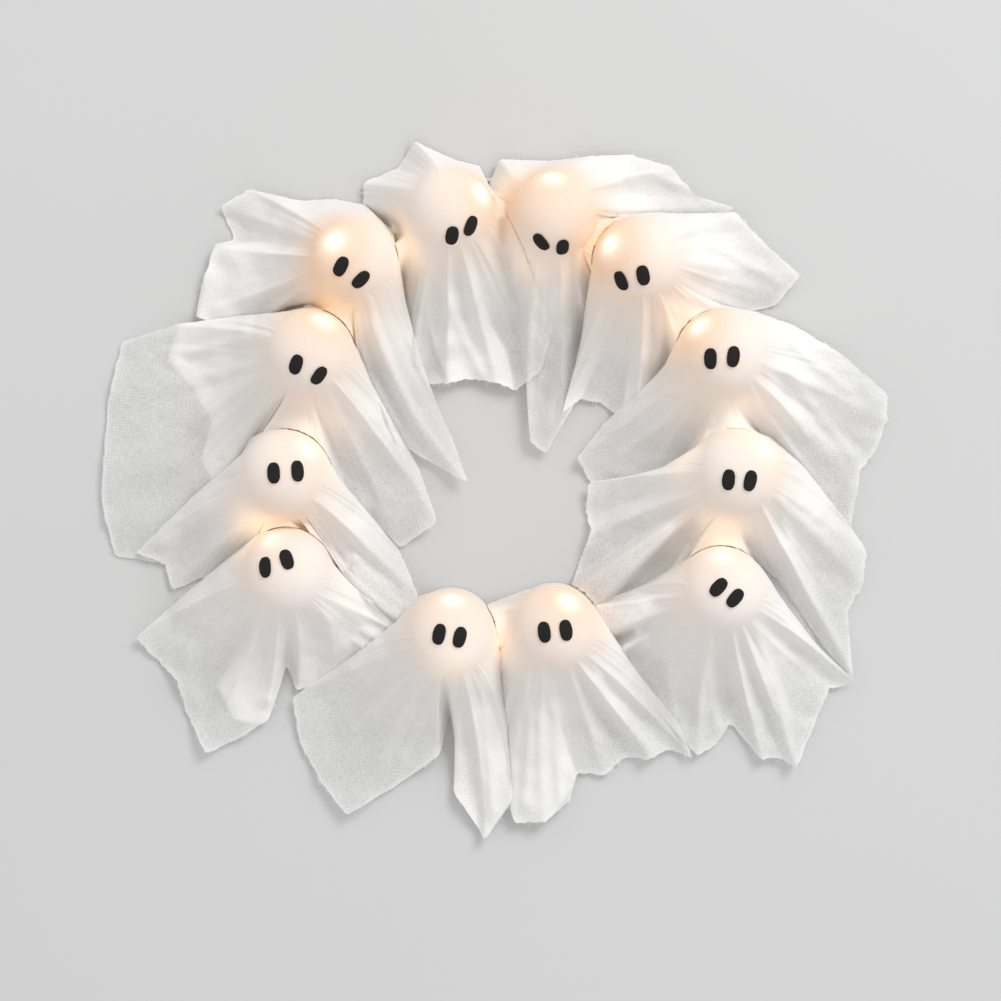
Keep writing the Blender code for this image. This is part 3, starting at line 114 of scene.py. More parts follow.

# %% [markdown]
# Each ghost is described from the photograph: the middle of its head, the bright point of its
# light, its two eyes with their lean in degrees, and the rays of its gauze. A ray runs from the head to one
# point of the hem, given as (x, y, lift, bend). Lift is 0 in a valley and 1 on a crest, and bend is how far
# the ray bows sideways, in pixels.

# %% The ghosts, clockwise from the upper left
GHOSTS = {
    "ghost_01": {
        "ball": (352, 262), "spot": (335, 243), "eyes": ((341, 267, 30), (361, 280, 40)),
        "rays": (
            (393, 231, 0), (365, 205, 0), (335, 199, 0), (300, 201, 0.15), (250, 190, 0.5),
            (221, 207, 0.2), (235, 240, 0), (216, 245, 0.6), (201, 290, 0.3), (197, 318, 0.45),
            (245, 332, 0.1), (275, 311, 0), (300, 303, 0), (325, 318, 0.2), (392, 440, 0.3, 18),
            (468, 483, 0.75, 25), (452, 437, 0.25, 22), (410, 350, 0, 10),
        ),
    },
    "ghost_02": {
        "ball": (450, 213), "spot": (481, 192), "eyes": ((452, 236, 5), (471, 226, 12)),
        "rays": (
            (500, 210, 0), (480, 166, 0), (455, 160, 0.1), (415, 142, 0.35), (398, 168, 0),
            (364, 183, 0.35), (363, 206, 0.1), (392, 228, 0), (398, 262, 0), (404, 330, 0.1),
            (412, 378, 0.65), (432, 384, 0.2), (447, 384, 0.75), (470, 379, 0.3), (496, 383, 0.7),
            (516, 391, 0.35), (540, 372, 0.5), (552, 330, 0.15), (522, 255, 0),
        ),
    },
    "ghost_03": {
        "ball": (553, 215), "spot": (553, 180), "eyes": ((541, 242, -20), (563, 247, -8)),
        "rays": (
            (735, 208, 0.3), (695, 196, 0.1), (671, 168, 0.5), (630, 155, 0.2), (590, 157, 0.45),
            (550, 161, 0.1), (500, 160, 0.35), (482, 200, 0.3), (505, 280, 0.1), (535, 380, 0.2),
            (529, 441, 0.7), (546, 454, 0.5), (560, 428, 0.7), (586, 386, 0.15), (603, 330, 0),
            (640, 262, 0), (620, 240, 0), (662, 234, 0.05), (705, 226, 0.15),
        ),
    },
    "ghost_04": {
        "ball": (638, 262), "spot": (613, 245), "eyes": ((621, 281, -10), (643, 276, -12)),
        "rays": (
            (775, 306, 0.2), (800, 276, 0.45), (768, 247, 0.15), (735, 213, 0.4), (690, 214, 0.05),
            (655, 214, 0), (618, 218, 0), (590, 245, 0), (594, 292, 0), (581, 372, 0.35),
            (561, 414, 0.75), (581, 399, 0.25), (601, 403, 0.15), (620, 418, 0.4), (636, 415, 0.75),
            (655, 388, 0.25), (674, 352, 0.4), (702, 338, 0.2), (730, 316, 0.1),
        ),
    },
    "ghost_05": {
        "ball": (722, 354), "spot": (697, 322), "eyes": ((710, 359, 3), (733, 357, 5)),
        "rays": (
            (886, 420, 0.6), (886, 394, 0.3), (840, 354, 0.4), (795, 326, 0.15), (757, 312, 0.05),
            (722, 306, 0), (686, 318, 0), (676, 348, 0.1), (656, 388, 0.45), (605, 422, 0.2),
            (577, 458, 0.6), (590, 482, 0.25), (645, 484, 0.05), (690, 455, 0), (720, 440, 0),
            (772, 440, 0), (795, 480, 0), (850, 528, 0.35), (859, 470, 0.6), (874, 453, 0.2),
        ),
    },
    "ghost_06": {
        "ball": (737, 474), "spot": (768, 447), "eyes": ((728, 480, 8), (750, 481, 10)),
        "rays": (
            (865, 550, 0.55), (850, 526, 0.2), (802, 466, 0.3), (770, 437, 0), (737, 426, 0),
            (704, 430, 0), (688, 455, 0), (640, 481, 0.3), (588, 482, 0.6), (586, 512, 0.15),
            (591, 530, 0.5), (570, 588, 0.25), (600, 612, 0.1), (645, 612, 0), (688, 560, 0), (722, 545, 0),
            (755, 560, 0), (778, 580, 0), (830, 655, 0.2), (852, 676, 0.5), (847, 610, 0.15),
            (862, 585, 0.5),
        ),
    },
    "ghost_07": {
        "ball": (722, 592), "spot": (722, 552), "eyes": ((718, 587, 42), (735, 598, 42)),
        "rays": (
            (853, 680, 0.6), (822, 652, 0.3), (785, 607, 0.1), (764, 578, 0), (738, 547, 0),
            (700, 547, 0), (676, 566, 0), (640, 586, 0.5), (588, 606, 0.5), (600, 650, 0.3),
            (640, 690, 0.2),
            (672, 728, 0.3), (697, 755, 0.65), (716, 744, 0.2), (730, 722, 0.1), (760, 758, 0.7),
            (780, 757, 0.3), (795, 767, 0.75), (812, 728, 0.3), (828, 688, 0.45), (843, 686, 0.2),
        ),
    },
    "ghost_08": {
        "ball": (555, 630), "spot": (567, 605), "eyes": ((544, 632, -8), (566, 630, -8)),
        "rays": (
            (604, 625, 0), (592, 600, 0), (560, 582, 0), (530, 588, 0), (482, 606, 0.4),
            (478, 650, 0.4), (490, 710, 0.3), (514, 822, 0.5), (545, 820, 0.75), (570, 800, 0.3),
            (577, 772, 0.2), (605, 775, 0.45), (624, 757, 0.15), (650, 758, 0.75), (668, 748, 0.25),
            (692, 757, 0.5), (678, 722, 0.3), (640, 680, 0.4),
        ),
    },
    "ghost_09": {
        "ball": (450, 635), "spot": (452, 600), "eyes": ((439, 634, 12), (460, 637, 15)),
        "rays": (
            (498, 632, 0), (487, 604, 0), (450, 588, 0), (412, 600, 0), (390, 630, 0),
            (340, 665, 0.4), (293, 697, 0.5), (300, 742, 0.2), (322, 782, 0.35), (347, 814, 0.7),
            (400, 783, 0.25), (440, 754, 0.6), (450, 712, 0), (458, 756, 0.5), (453, 790, 0.35),
            (477, 825, 0.3), (485, 839, 0.7), (513, 798, 0.4), (507, 730, 0.45), (500, 680, 0.1),
        ),
    },
    "ghost_10": {
        "ball": (286, 573), "spot": (268, 535), "eyes": ((265, 567, -8), (287, 559, -15)),
        "rays": (
            (334, 575, 0), (322, 545, 0), (290, 525, 0), (258, 536, 0), (238, 550, 0),
            (190, 590, 0.3), (137, 637, 0.6), (150, 652, 0.2), (178, 680, 0.5), (187, 712, 0.15),
            (207, 753, 0.6), (243, 736, 0.25), (270, 718, 0.55), (287, 665, 0.05), (297, 690, 0.45),
            (325, 682, 0.15), (350, 662, 0.5), (408, 636, 0.5), (372, 600, 0.2),
        ),
    },
    "ghost_11": {
        "ball": (284, 475), "spot": (315, 440), "eyes": ((274, 473, -3), (298, 471, -3)),
        "rays": (
            (332, 478, 0), (318, 443, 0), (284, 428, 0), (252, 437, 0), (240, 458, 0),
            (195, 495, 0.35), (137, 553, 0.6), (165, 563, 0.15), (173, 590, 0.4), (230, 566, 0),
            (264, 552, 0.1), (286, 545, 0), (320, 530, 0), (338, 565, 0.05), (392, 634, 0.2),
            (419, 596, 0.7), (400, 551, 0.25), (356, 498, 0.25),
        ),
    },
    "ghost_12": {
        "ball": (309, 354), "spot": (322, 322), "eyes": ((296, 365, 22), (319, 376, 25)),
        "rays": (
            (356, 350, 0), (345, 325, 0), (312, 306, 0), (285, 313, 0), (240, 316, 0.25),
            (178, 325, 0.55), (122, 342, 0.15), (108, 405, 0.15), (102, 500, 0.3), (115, 556, 0.1),
            (165, 563, 0.2), (205, 500, 0.05), (238, 474, 0), (282, 440, 0), (323, 474, 0),
            (347, 490, 0.05), (400, 548, 0.25), (438, 522, 0.7), (418, 466, 0.25), (378, 400, 0.15),
        ),
    },
}

# %% [markdown]
# On top of the rays come the marks of each gauze that the photograph shows clearly: crisp folds, as broken
# lines along their ridges, and places where the gauze lies double, as closed outlines.

# %% Folds, double plies, and the order of laying
FOLDS = {
    "ghost_01": (((372, 330), (392, 380), (425, 440)), ((352, 320), (366, 372), (395, 425))),
    "ghost_02": (((446, 290), (456, 320), (470, 350), (480, 372)), ((402, 240), (408, 300), (418, 365))),
    "ghost_03": (((575, 255), (580, 300), (562, 360), (545, 425)), ((600, 175), (650, 172), (700, 190))),
    "ghost_04": (((655, 300), (660, 350), (645, 395)), ((700, 240), (745, 262), (782, 282))),
    "ghost_05": (
        ((755, 365), (775, 400), (805, 435)), ((780, 365), (820, 415), (855, 455)),
        ((790, 345), (850, 390)), ((700, 385), (660, 425), (620, 455)),
    ),
    "ghost_06": (((752, 500), (768, 550)), ((775, 498), (795, 565)), ((690, 480), (640, 505), (605, 535))),
    "ghost_07": (
        ((704, 610), (710, 680), (719, 728)), ((750, 625), (780, 697), (788, 745)),
        ((765, 600), (815, 650), (843, 675)), ((690, 600), (665, 650), (675, 715)),
    ),
    "ghost_08": (
        ((585, 650), (608, 700), (650, 750)), ((545, 660), (556, 720), (560, 800)),
        ((525, 650), (528, 730), (524, 805)),
    ),
    "ghost_09": (
        ((418, 655), (380, 705), (345, 750)), ((478, 660), (488, 730), (492, 815)),
        ((440, 665), (428, 705), (400, 760)),
    ),
    "ghost_10": (
        ((262, 600), (252, 640), (220, 690)), ((325, 600), (332, 650)), ((240, 590), (205, 625), (180, 665)),
        ((292, 610), (280, 655), (268, 700)),
    ),
    "ghost_11": (
        ((325, 500), (360, 545), (402, 585)), ((250, 490), (205, 515), (160, 545)), ((300, 505), (330, 550)),
    ),
    "ghost_12": (
        ((345, 385), (385, 430), (425, 495)), ((325, 390), (340, 430)), ((270, 340), (220, 345), (188, 352)),
    ),
}
PLIES = {
    "ghost_01": (
        ((305, 242), (240, 242), (216, 246), (205, 258), (201, 290), (196, 325), (260, 340), (330, 320),
         (345, 270)),
    ),
    "ghost_02": (
        ((442, 245), (430, 268), (425, 290), (428, 320), (434, 345), (450, 388), (480, 384), (515, 396),
         (508, 355), (487, 318), (474, 270), (468, 250)),
    ),
    "ghost_04": (
        ((597, 296), (588, 360), (558, 415), (566, 422), (582, 398), (603, 345), (628, 296)),
        ((640, 300), (632, 350), (622, 424), (640, 424), (650, 402), (670, 365), (678, 315), (668, 292)),
    ),
    "ghost_08": (((528, 640), (548, 690), (578, 782), (548, 826), (512, 826), (488, 710), (500, 640)),),
    "ghost_09": (((464, 665), (456, 745), (448, 792), (480, 845), (515, 800), (508, 730), (492, 660)),),
    "ghost_10": (((262, 590), (252, 635), (216, 686), (232, 720), (268, 728), (282, 690), (294, 612)),),
    "ghost_12": (
        ((270, 310), (178, 322), (166, 360), (193, 388), (212, 420), (199, 458), (212, 485), (300, 470),
         (330, 380)),
    ),
}

# The order in which the gauzes were laid, the lowest first
LAID = [f"ghost_{number:02d}" for number in (3, 2, 1, 4, 5, 12, 6, 11, 7, 10, 8, 9)]


def head_middle(name):
    """Middle of a head: the centre of its CAD ball's box."""
    low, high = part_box(f"{name}_head")
    return (np.array(low) + np.array(high)) / 2


CENTRES = {name: head_middle(name) for name in GHOSTS}
print("heads", {name: np.round(place * 1000, 1).tolist() for name, place in CENTRES.items()})

# %% [markdown]
# Cloth is laid in layers, and each new layer has to rest on what is already there. A height map does this
# with little work: a square grid of cells, each holding the height of the highest thing laid so far. A
# gauze reads it to find its floor, and is then written into it for the next gauze.

# %% Height map of what has been laid
CELL = 0.001
MAP_LOW = np.array([-0.34, -0.31])
MAP_SIZE = (680, 620)
laid = np.zeros(MAP_SIZE)


def cell_plan():
    """Plan coordinates of every cell's middle, as two arrays."""
    x = MAP_LOW[0] + (np.arange(MAP_SIZE[0]) + 0.5) * CELL
    y = MAP_LOW[1] + (np.arange(MAP_SIZE[1]) + 0.5) * CELL
    return np.meshgrid(x, y, indexing="ij")


def read_map(x, y):
    """Height at plan points: the four nearest cells, weighted by nearness."""
    u = np.clip((x - MAP_LOW[0]) / CELL - 0.5, 0, MAP_SIZE[0] - 1.001)
    v = np.clip((y - MAP_LOW[1]) / CELL - 0.5, 0, MAP_SIZE[1] - 1.001)
    i, j = u.astype(int), v.astype(int)
    a, b = u - i, v - j
    return (
        laid[i, j] * (1 - a) * (1 - b) + laid[i + 1, j] * a * (1 - b)
        + laid[i, j + 1] * (1 - a) * b + laid[i + 1, j + 1] * a * b
    )


def refine(grid, times):
    """A grid of points with times - 1 more rows between each two, in straight lines, along axis 1."""
    part = (np.arange(times) / times)[None, None, :, None]
    fine = grid[:, :-1, None] * (1 - part) + grid[:, 1:, None] * part
    return fine.reshape(grid.shape[0], -1, grid.shape[2])


def write_map(grid):
    """Raises the cells under a closed fan of points (columns, rows, 3) to the fan's height."""
    closed = np.concatenate([grid, grid[:1]], 0)
    fine = refine(closed, 6)
    fine = refine(fine.transpose(1, 0, 2), 5)
    i = np.clip(((fine[..., 0] - MAP_LOW[0]) / CELL).astype(int), 0, MAP_SIZE[0] - 1)
    j = np.clip(((fine[..., 1] - MAP_LOW[1]) / CELL).astype(int), 0, MAP_SIZE[1] - 1)
    np.maximum.at(laid, (i.ravel(), j.ravel()), fine[..., 2].ravel())


def raise_over(node, samples=16):
    """Raises the cells under a CAD node, and their neighbours, to points along each edge of its mesh."""
    mesh = node.data
    corners, ends = np.empty(len(mesh.vertices) * 3), np.empty(len(mesh.edges) * 2, np.int32)
    mesh.vertices.foreach_get("co", corners)
    mesh.edges.foreach_get("vertices", ends)
    matrix = np.array(node.matrix_world)
    points = corners.reshape(-1, 3) @ matrix[:3, :3].T + matrix[:3, 3]
    part = ((np.arange(samples) + 0.5) / samples)[None, :, None]
    first, last = (points[ends.reshape(-1, 2)[:, k], None] for k in (0, 1))
    along = (first * (1 - part) + last * part).reshape(-1, 3)
    i = np.clip(((along[:, 0] - MAP_LOW[0]) / CELL).astype(int), 1, MAP_SIZE[0] - 2)
    j = np.clip(((along[:, 1] - MAP_LOW[1]) / CELL).astype(int), 1, MAP_SIZE[1] - 2)
    for across in (-1, 0, 1):
        for up in (-1, 0, 1):
            np.maximum.at(laid, (i + across, j + up), along[:, 2])


plan_x, plan_y = cell_plan()
raise_over(nodes["wire_frame"])
raise_over(nodes["light_string"])
case_low, case_high = (np.array(corner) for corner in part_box("battery_case"))
case_angle = math.radians(CASE_AZIMUTH)
case_middle = (case_low + case_high)[:2] / 2
out_x, out_y = math.cos(case_angle), math.sin(case_angle)
case_out = (plan_x - case_middle[0]) * out_x + (plan_y - case_middle[1]) * out_y
case_along = -(plan_x - case_middle[0]) * out_y + (plan_y - case_middle[1]) * out_x
HALF_CASE = (0.025, 0.036)
on_case = (np.abs(case_out) < HALF_CASE[0]) & (np.abs(case_along) < HALF_CASE[1])
laid[on_case] = np.maximum(laid[on_case], CASE_TOP)
print("cells over the frame and case", int((laid > 0).sum()))

# %% [markdown]
# A draped square of gauze is a fan of rays. Near the head all of them follow the ball. Below it, a valley
# drops at once and runs low along the floor, while a crest leaves the ball earlier and comes down in a long
# slope. The fold between two rays is their smooth blend, and a few finer pleats ride on top of it.

# %% Helpers for the fans
COLUMNS = 352
DOME_ROWS = 22
SKIRT_ROWS = 52


def blur_round(values, passes):
    """Smooths values round a closed loop: each becomes a quarter of both neighbours and half of itself."""
    for _ in range(passes):
        values = 0.5 * values + 0.25 * (np.roll(values, 1, 0) + np.roll(values, -1, 0))
    return values


def blur_rows(values, passes):
    """Smooths values along the rows of a fan, keeping its first and last row."""
    for _ in range(passes):
        inner = 0.5 * values[:, 1:-1] + 0.25 * (values[:, 2:] + values[:, :-2])
        values = np.concatenate([values[:, :1], inner, values[:, -1:]], 1)
    return values


def even_angles(angles, passes=10):
    """Directions at which rays leave the head: those of the hem points, evened out round the circle."""
    angles = np.unwrap(angles)
    whole = 2 * math.pi
    for _ in range(passes):
        before = np.concatenate([[angles[-1] - whole], angles[:-1]])
        after = np.concatenate([angles[1:], [angles[0] + whole]])
        angles = 0.5 * angles + 0.25 * (before + after)
    return angles


def ripple(rng, waves, count, length):
    """A closed random wave round a fan: a sum of sines with whole numbers of waves and random phases."""
    turn = 2 * math.pi * np.arange(count) / count
    total = np.zeros((count, length))
    drift = np.linspace(0, 1, length)[None, :]
    for number in waves:
        phase, slide, size = rng.uniform(0, 2 * math.pi), rng.normal(0, 0.9), rng.uniform(0.5, 1)
        total += size * np.sin(number * turn[:, None] + phase + slide * drift)
    return total / math.sqrt(len(waves))


def creases(rng, x, y, wavelength, count=14):
    """Soft random bumps over the plan: a sum of plane waves with random directions and phases."""
    total = np.zeros_like(x)
    for _ in range(count):
        way, phase = rng.uniform(0, 2 * math.pi, 2)
        number = 2 * math.pi / (wavelength * rng.uniform(0.7, 1.5))
        total += np.sin(number * (x * math.cos(way) + y * math.sin(way)) + phase)
    return total / math.sqrt(count / 2)


# %% [markdown]
# A crisp fold is a ridge along a line, and a second ply is a raised patch inside an outline. Both need the
# distance from each point of cloth to a broken line; the outline also needs to know which side is inside.

# %% Helpers for folds and plies
FOLD_HEIGHT = 0.0036
FOLD_WIDTH = 0.0042
PLY_EDGE = 0.002
FOLD_LEVEL = 0.02


def line_distance(plan, line):
    """Distance of plan points from a broken line, and whether an odd number of its edges lies to their right.

    The nearest point of an edge from a to b is a + t (b - a), with t = (p - a) . (b - a) / |b - a|^2 in 0..1.
    """
    nearest, odd = np.full(plan.shape[:2], 9.0), np.zeros(plan.shape[:2], bool)
    for a, b in zip(line[:-1], line[1:]):
        edge = b - a
        part = np.clip(((plan - a) @ edge) / (edge @ edge), 0, 1)
        nearest = np.minimum(nearest, np.linalg.norm(plan - a - part[..., None] * edge, axis=-1))
        crossing = (a[1] > plan[..., 1]) != (b[1] > plan[..., 1])
        rise = np.where(edge[1] == 0, 1e-9, edge[1])
        odd ^= crossing & (plan[..., 0] < a[0] + (plan[..., 1] - a[1]) * edge[0] / rise)
    return nearest, odd


def fold_height(name, plan):
    """Height of the crisp folds: a bell curve across each ridge line, about twice FOLD_WIDTH wide."""
    total = np.zeros(plan.shape[:2])
    for line in FOLDS[name]:
        away, _ = line_distance(plan, photo_point(*np.array(line).T, FOLD_LEVEL))
        total = np.maximum(total, np.exp(-(away / FOLD_WIDTH) ** 2))
    return FOLD_HEIGHT * total


def double_share(name, plan):
    """1 where the gauze lies double and 0 elsewhere, changing over PLY_EDGE at the second ply's edge."""
    share = np.zeros(plan.shape[:2])
    for outline in PLIES.get(name, ()):
        corners = photo_point(*np.array((*outline, outline[0])).T, FOLD_LEVEL)
        away, inside = line_distance(plan, corners)
        share = np.maximum(share, np.clip(0.5 + np.where(inside, away, -away) / PLY_EDGE, 0, 1))
    return share


# %% [markdown]
# From the few given rays come all columns of the fan, then the path of each over the floor, then its height.

# %% Columns, paths and heights of a fan
def fan_columns(rays, centre):
    """Hem point, lift, bend and leaving angle for every column of a fan, from the few given rays.

    Columns are shared out by hem length and by angle. Lift rises from a valley to a crest with the power
    1.8 of the way, so valleys are broad and crests are ridges. The rest is blended and blurred a little.
    """
    given = np.array([ray if len(ray) == 4 else (*ray, 0) for ray in rays], float)
    hems = photo_point(given[:, 0], given[:, 1])
    offsets = hems - centre[:2]
    angles = even_angles(np.arctan2(offsets[:, 1], offsets[:, 0]))
    next_hems = np.roll(hems, -1, 0)
    next_angles = np.append(angles[1:], angles[0] + 2 * math.pi)
    weight = np.hypot(*(next_hems - hems).T) / 0.004 + np.degrees(next_angles - angles) / 2.0
    edges = np.concatenate([[0], np.cumsum(weight)])
    where = (np.arange(COLUMNS) + 0.5) / COLUMNS * edges[-1]
    ray = np.searchsorted(edges, where, side="right") - 1
    part = (where - edges[ray]) / weight[ray]
    after = (ray + 1) % len(given)
    climbs = given[after, 2] > given[ray, 2]
    soft = np.where(climbs, part ** 1.8, 1 - (1 - part) ** 1.8)
    hem = hems[ray] * (1 - part[:, None]) + hems[after] * part[:, None]
    lift = given[ray, 2] * (1 - soft) + given[after, 2] * soft
    bend = (given[ray, 3] * (1 - soft) + given[after, 3] * soft) * PHOTO_SCALE
    angle = angles[ray] * (1 - part) + next_angles[ray] * part
    drift = angle - np.linspace(0, 2 * math.pi, COLUMNS, endpoint=False)
    angle = angle + blur_round(drift, 30) - drift
    return blur_round(hem, 2), blur_round(lift, 1), blur_round(bend, 6), angle


def plan_paths(hem, bend, angle, centre, blockers, rows):
    """Plan points of every ray, rows deep, from the head's flank to the hem.

    Each is a curve of three points: flank, hem, and a middle pulled towards the leaving direction. A ray
    stops where it meets the ball of a ghost laid later, and one whose hem is inside the flank is tucked.
    """
    direction = np.stack([np.cos(angle), np.sin(angle)], 1)
    start = centre[:2] + direction * FLANK_RADIUS
    tucked = np.hypot(*(hem - centre[:2]).T) < FLANK_RADIUS + HEM_ROOM
    hem = np.where(tucked[:, None], start + direction * 0.0001, hem)
    span = hem - start
    length = np.hypot(*span.T)[:, None]
    middle = 0.6 * (start + span / 2) + 0.4 * (start + direction * length / 2)
    sideways = np.stack([span[:, 1], -span[:, 0]], 1) / np.maximum(length, 1e-6)
    middle = middle + sideways * (bend[:, None] * (length > 0.001))

    def curve(part):
        part = part[..., None]
        ends = (1 - part) ** 2 * start[:, None], part ** 2 * hem[:, None]
        return ends[0] + 2 * part * (1 - part) * middle[:, None] + ends[1]

    steps = np.linspace(0, 1, 64)[None].repeat(len(hem), 0)
    route = curve(steps)
    stop = np.ones(len(hem))
    for ball in blockers:
        inside = np.hypot(route[..., 0] - ball[0], route[..., 1] - ball[1]) < DOME_RADIUS + BESIDE_HEAD
        inside[:, 0] = False
        first = np.argmax(inside, 1)
        stop = np.where(inside.any(1), np.minimum(stop, steps[0][np.maximum(first - 1, 1)]), stop)
    ease = np.linspace(0, 1, rows) ** 1.15
    blocked = blur_round((stop < 0.999).astype(float), 3)
    return curve(ease[None] * stop[:, None]), direction, blocked


def falling_height(run, total, lift, top, room, hem):
    """Height along a ray: the ball up to its leaving angle, then a power curve that flattens to the hem.

    A ray with little room beside the head stays on the ball longer, so room goes from 0 to 1.
    """
    open_angle = VALLEY_ANGLE + (CREST_ANGLE - VALLEY_ANGLE) * lift
    angle = np.radians(TUCKED_ANGLE + (open_angle - TUCKED_ANGLE) * room)
    leave = DOME_RADIUS * np.sin(angle)
    start = top + DOME_RADIUS * np.cos(angle)
    power = np.clip(np.tan(angle) * (total - leave) / (start - hem), 1.0, 9.0)
    drop = np.where(total > FLANK_RADIUS + HEM_ROOM, leave, FLANK_RADIUS)
    part = np.clip((run - drop) / (total - drop), 0, 1)
    on_ball = top + np.sqrt(np.maximum(DOME_RADIUS ** 2 - run ** 2, 0))
    return np.where(run <= leave, on_ball, hem + (start - hem) * (1 - part) ** power), part


# %% [markdown]
# Where a ray would sink into what lies below, it is lifted. The lift is spread to its neighbours and fades
# with distance, so the cloth bridges the step softly instead of following it like paint.

# %% Drape one gauze
CLOTH_GAP = 0.0009
LIFT_WAVE = 0.05
HEM_WAVE = 0.0006
PLEAT_HEIGHT = 0.0005
BUMP_HEIGHT = 0.0008
BUMP_LENGTHS = (0.034, 0.016)
PLY_HEIGHT = 0.0013
WIDE_SKIRT = 0.05
NARROW_SKIRT = 0.03


def settle(grid, first_row):
    """Lifts a fan clear of the height map, with the lift fading over the neighbouring columns and rows."""
    floor = read_map(grid[..., 0], grid[..., 1]) + CLOTH_GAP
    floor[:, :first_row] = -1
    lack = np.maximum(floor - grid[..., 2], 0)
    spread = lack
    for _ in range(26):
        spread = np.maximum(lack, 0.975 * blur_rows(blur_round(spread, 1), 1))
    spread[:, :first_row] = np.minimum(spread[:, :first_row], 0)
    grid[..., 2] += spread
    return grid


def drape(name, rays, seed):
    """Points of one gauze as (columns, rows, 3), from near the top of the head to the hem."""
    rng = np.random.default_rng(seed)
    centre = CENTRES[name]
    hem, lift, bend, angle = fan_columns(rays, centre)
    fine = ripple(rng, (23, 31, 38, 47, 59), COLUMNS, DOME_ROWS + SKIRT_ROWS)
    free = np.hypot(*(hem - centre[:2]).T) - FLANK_RADIUS
    room = np.clip(free / WIDE_SKIRT, 0, 1)
    lift = np.clip(lift + LIFT_WAVE * room * ripple(rng, (13, 17, 22), COLUMNS, 1)[:, 0], 0, 1)
    outward = (hem - centre[:2]) / np.hypot(*(hem - centre[:2]).T)[:, None]
    hem = hem + outward * (HEM_WAVE * room * ripple(rng, (37, 53, 71, 97), COLUMNS, 1)[:, 0])[:, None]
    later = LAID[LAID.index(name) + 1:]
    skirt, direction, blocked = plan_paths(
        hem, bend, angle, centre, [CENTRES[other][:2] for other in later], SKIRT_ROWS
    )
    tilt = np.radians(np.linspace(4, 90, DOME_ROWS, endpoint=False))
    dome = centre[:2] + direction[:, None] * (DOME_RADIUS * np.sin(tilt))[None, :, None]
    plan = np.concatenate([dome, skirt], 1)
    steps = np.hypot(*np.moveaxis(np.diff(skirt, axis=1), -1, 0))
    run = np.concatenate([
        np.broadcast_to(DOME_RADIUS * np.sin(tilt), (COLUMNS, DOME_ROWS)),
        np.full((COLUMNS, 1), FLANK_RADIUS), FLANK_RADIUS + np.cumsum(steps, 1),
    ], 1)
    total = run[:, -1:]
    beside = np.clip((total - FLANK_RADIUS) / NARROW_SKIRT, 0, 1)
    bridge = BRIDGE_HEIGHT + NARROW_RISE * (1 - beside)
    end = HEM_LOW + (HEM_RISE * lift[:, None]) * (1 - blocked[:, None]) + bridge * blocked[:, None]
    height, part = falling_height(run, total, lift[:, None], centre[2], beside, end)
    swell = np.sin(math.pi * np.clip(part, 0, 1) ** 0.5) * room[:, None]
    height = height + PLEAT_HEIGHT * fine * swell
    broad, small = (creases(rng, plan[..., 0], plan[..., 1], length) for length in BUMP_LENGTHS)
    beyond = np.clip((run - BALL_RADIUS) / 0.02, 0, 1)
    height = height + BUMP_HEIGHT * (broad + 0.5 * small) * beyond * room[:, None]
    height = height + (fold_height(name, plan) + PLY_HEIGHT * double_share(name, plan)) * beyond
    grid = np.concatenate([plan, np.maximum(height, HEM_LOW)[..., None]], 2)
    grid[:, DOME_ROWS:, 2] = blur_rows(blur_round(grid[:, DOME_ROWS:, 2], 1), 2)
    grid = settle(grid, DOME_ROWS - 4)
    write_map(grid)
    return grid


# %% [markdown]
# The warm light has no lamp of its own in the scene. Each point of cloth gets a number that says how much
# light reaches it from the beads, and the gauze's material turns the number into a glow.

# %% Beads and their glow
def bead_place(name):
    """Middle of a ghost's bead of light: on the lead's path over the ball, under the photographed spot."""
    centre = CENTRES[name]
    spot = photo_point(*GHOSTS[name]["spot"], centre[2] + BALL_RADIUS) - centre[:2]
    reach = min(np.hypot(*spot) / BALL_RADIUS, 0.82)
    spot = spot / np.hypot(*spot) * reach
    return centre + BEAD_PATH * np.array([spot[0], spot[1], math.sqrt(1 - reach ** 2)])


BEADS = {name: bead_place(name) for name in GHOSTS}
BRIGHT = dict(zip(GHOSTS, (1.0, 0.8, 0.7, 1.0, 0.9, 0.5, 0.45, 0.8, 0.6, 0.5, 0.5, 0.8)))
# Warm light in the hollows between the heads: (x, y) in the photograph, height and strength
HOLLOWS = (
    (340, 314, 0.045, 0.9), (403, 250, 0.045, 0.8), (509, 183, 0.040, 0.5), (536, 256, 0.045, 0.4),
    (594, 245, 0.045, 0.7), (682, 328, 0.050, 0.8), (745, 418, 0.045, 0.5), (686, 452, 0.045, 0.6),
    (722, 535, 0.045, 1.0), (500, 640, 0.045, 0.7), (330, 458, 0.045, 0.5), (266, 522, 0.045, 1.0),
    (245, 536, 0.040, 0.6), (452, 657, 0.070, 0.5), (318, 436, 0.050, 0.6), (598, 622, 0.045, 0.3),
    (350, 575, 0.040, 0.3), (765, 440, 0.060, 0.5),
)


CORE_SPREAD = 0.0055
HALO_SPREAD = 0.021
WIDE_SPREAD = 0.038
HEAD_SPREAD = 0.027
HOLLOW_SPREAD = 0.013
FAINT = 0.35


def bell(points, place, spread):
    """exp(-d^2 / (2 spread^2)) for the distance d of each point from a place."""
    return np.exp(-((points - place) ** 2).sum(1) / (2 * spread ** 2))


def glow_at(points):
    """Light that reaches points: a small bright core at each bead, a wide halo, and the hollows' glow.

    The halo is the sum of a near and a faint far bell curve round the bead and a faint one round the head.
    """
    core, halo, hollow = (np.zeros(len(points)) for _ in range(3))
    for name, bead in BEADS.items():
        core += BRIGHT[name] * bell(points, bead, CORE_SPREAD)
        halo += BRIGHT[name] * bell(points, bead, HALO_SPREAD)
        halo += FAINT * BRIGHT[name] * bell(points, bead, WIDE_SPREAD)
        halo += FAINT * bell(points, CENTRES[name], HEAD_SPREAD)
    for x, y, height, strength in HOLLOWS:
        hollow += strength * bell(points, np.array([*photo_point(x, y, height), height]), HOLLOW_SPREAD)
    return core, halo, hollow


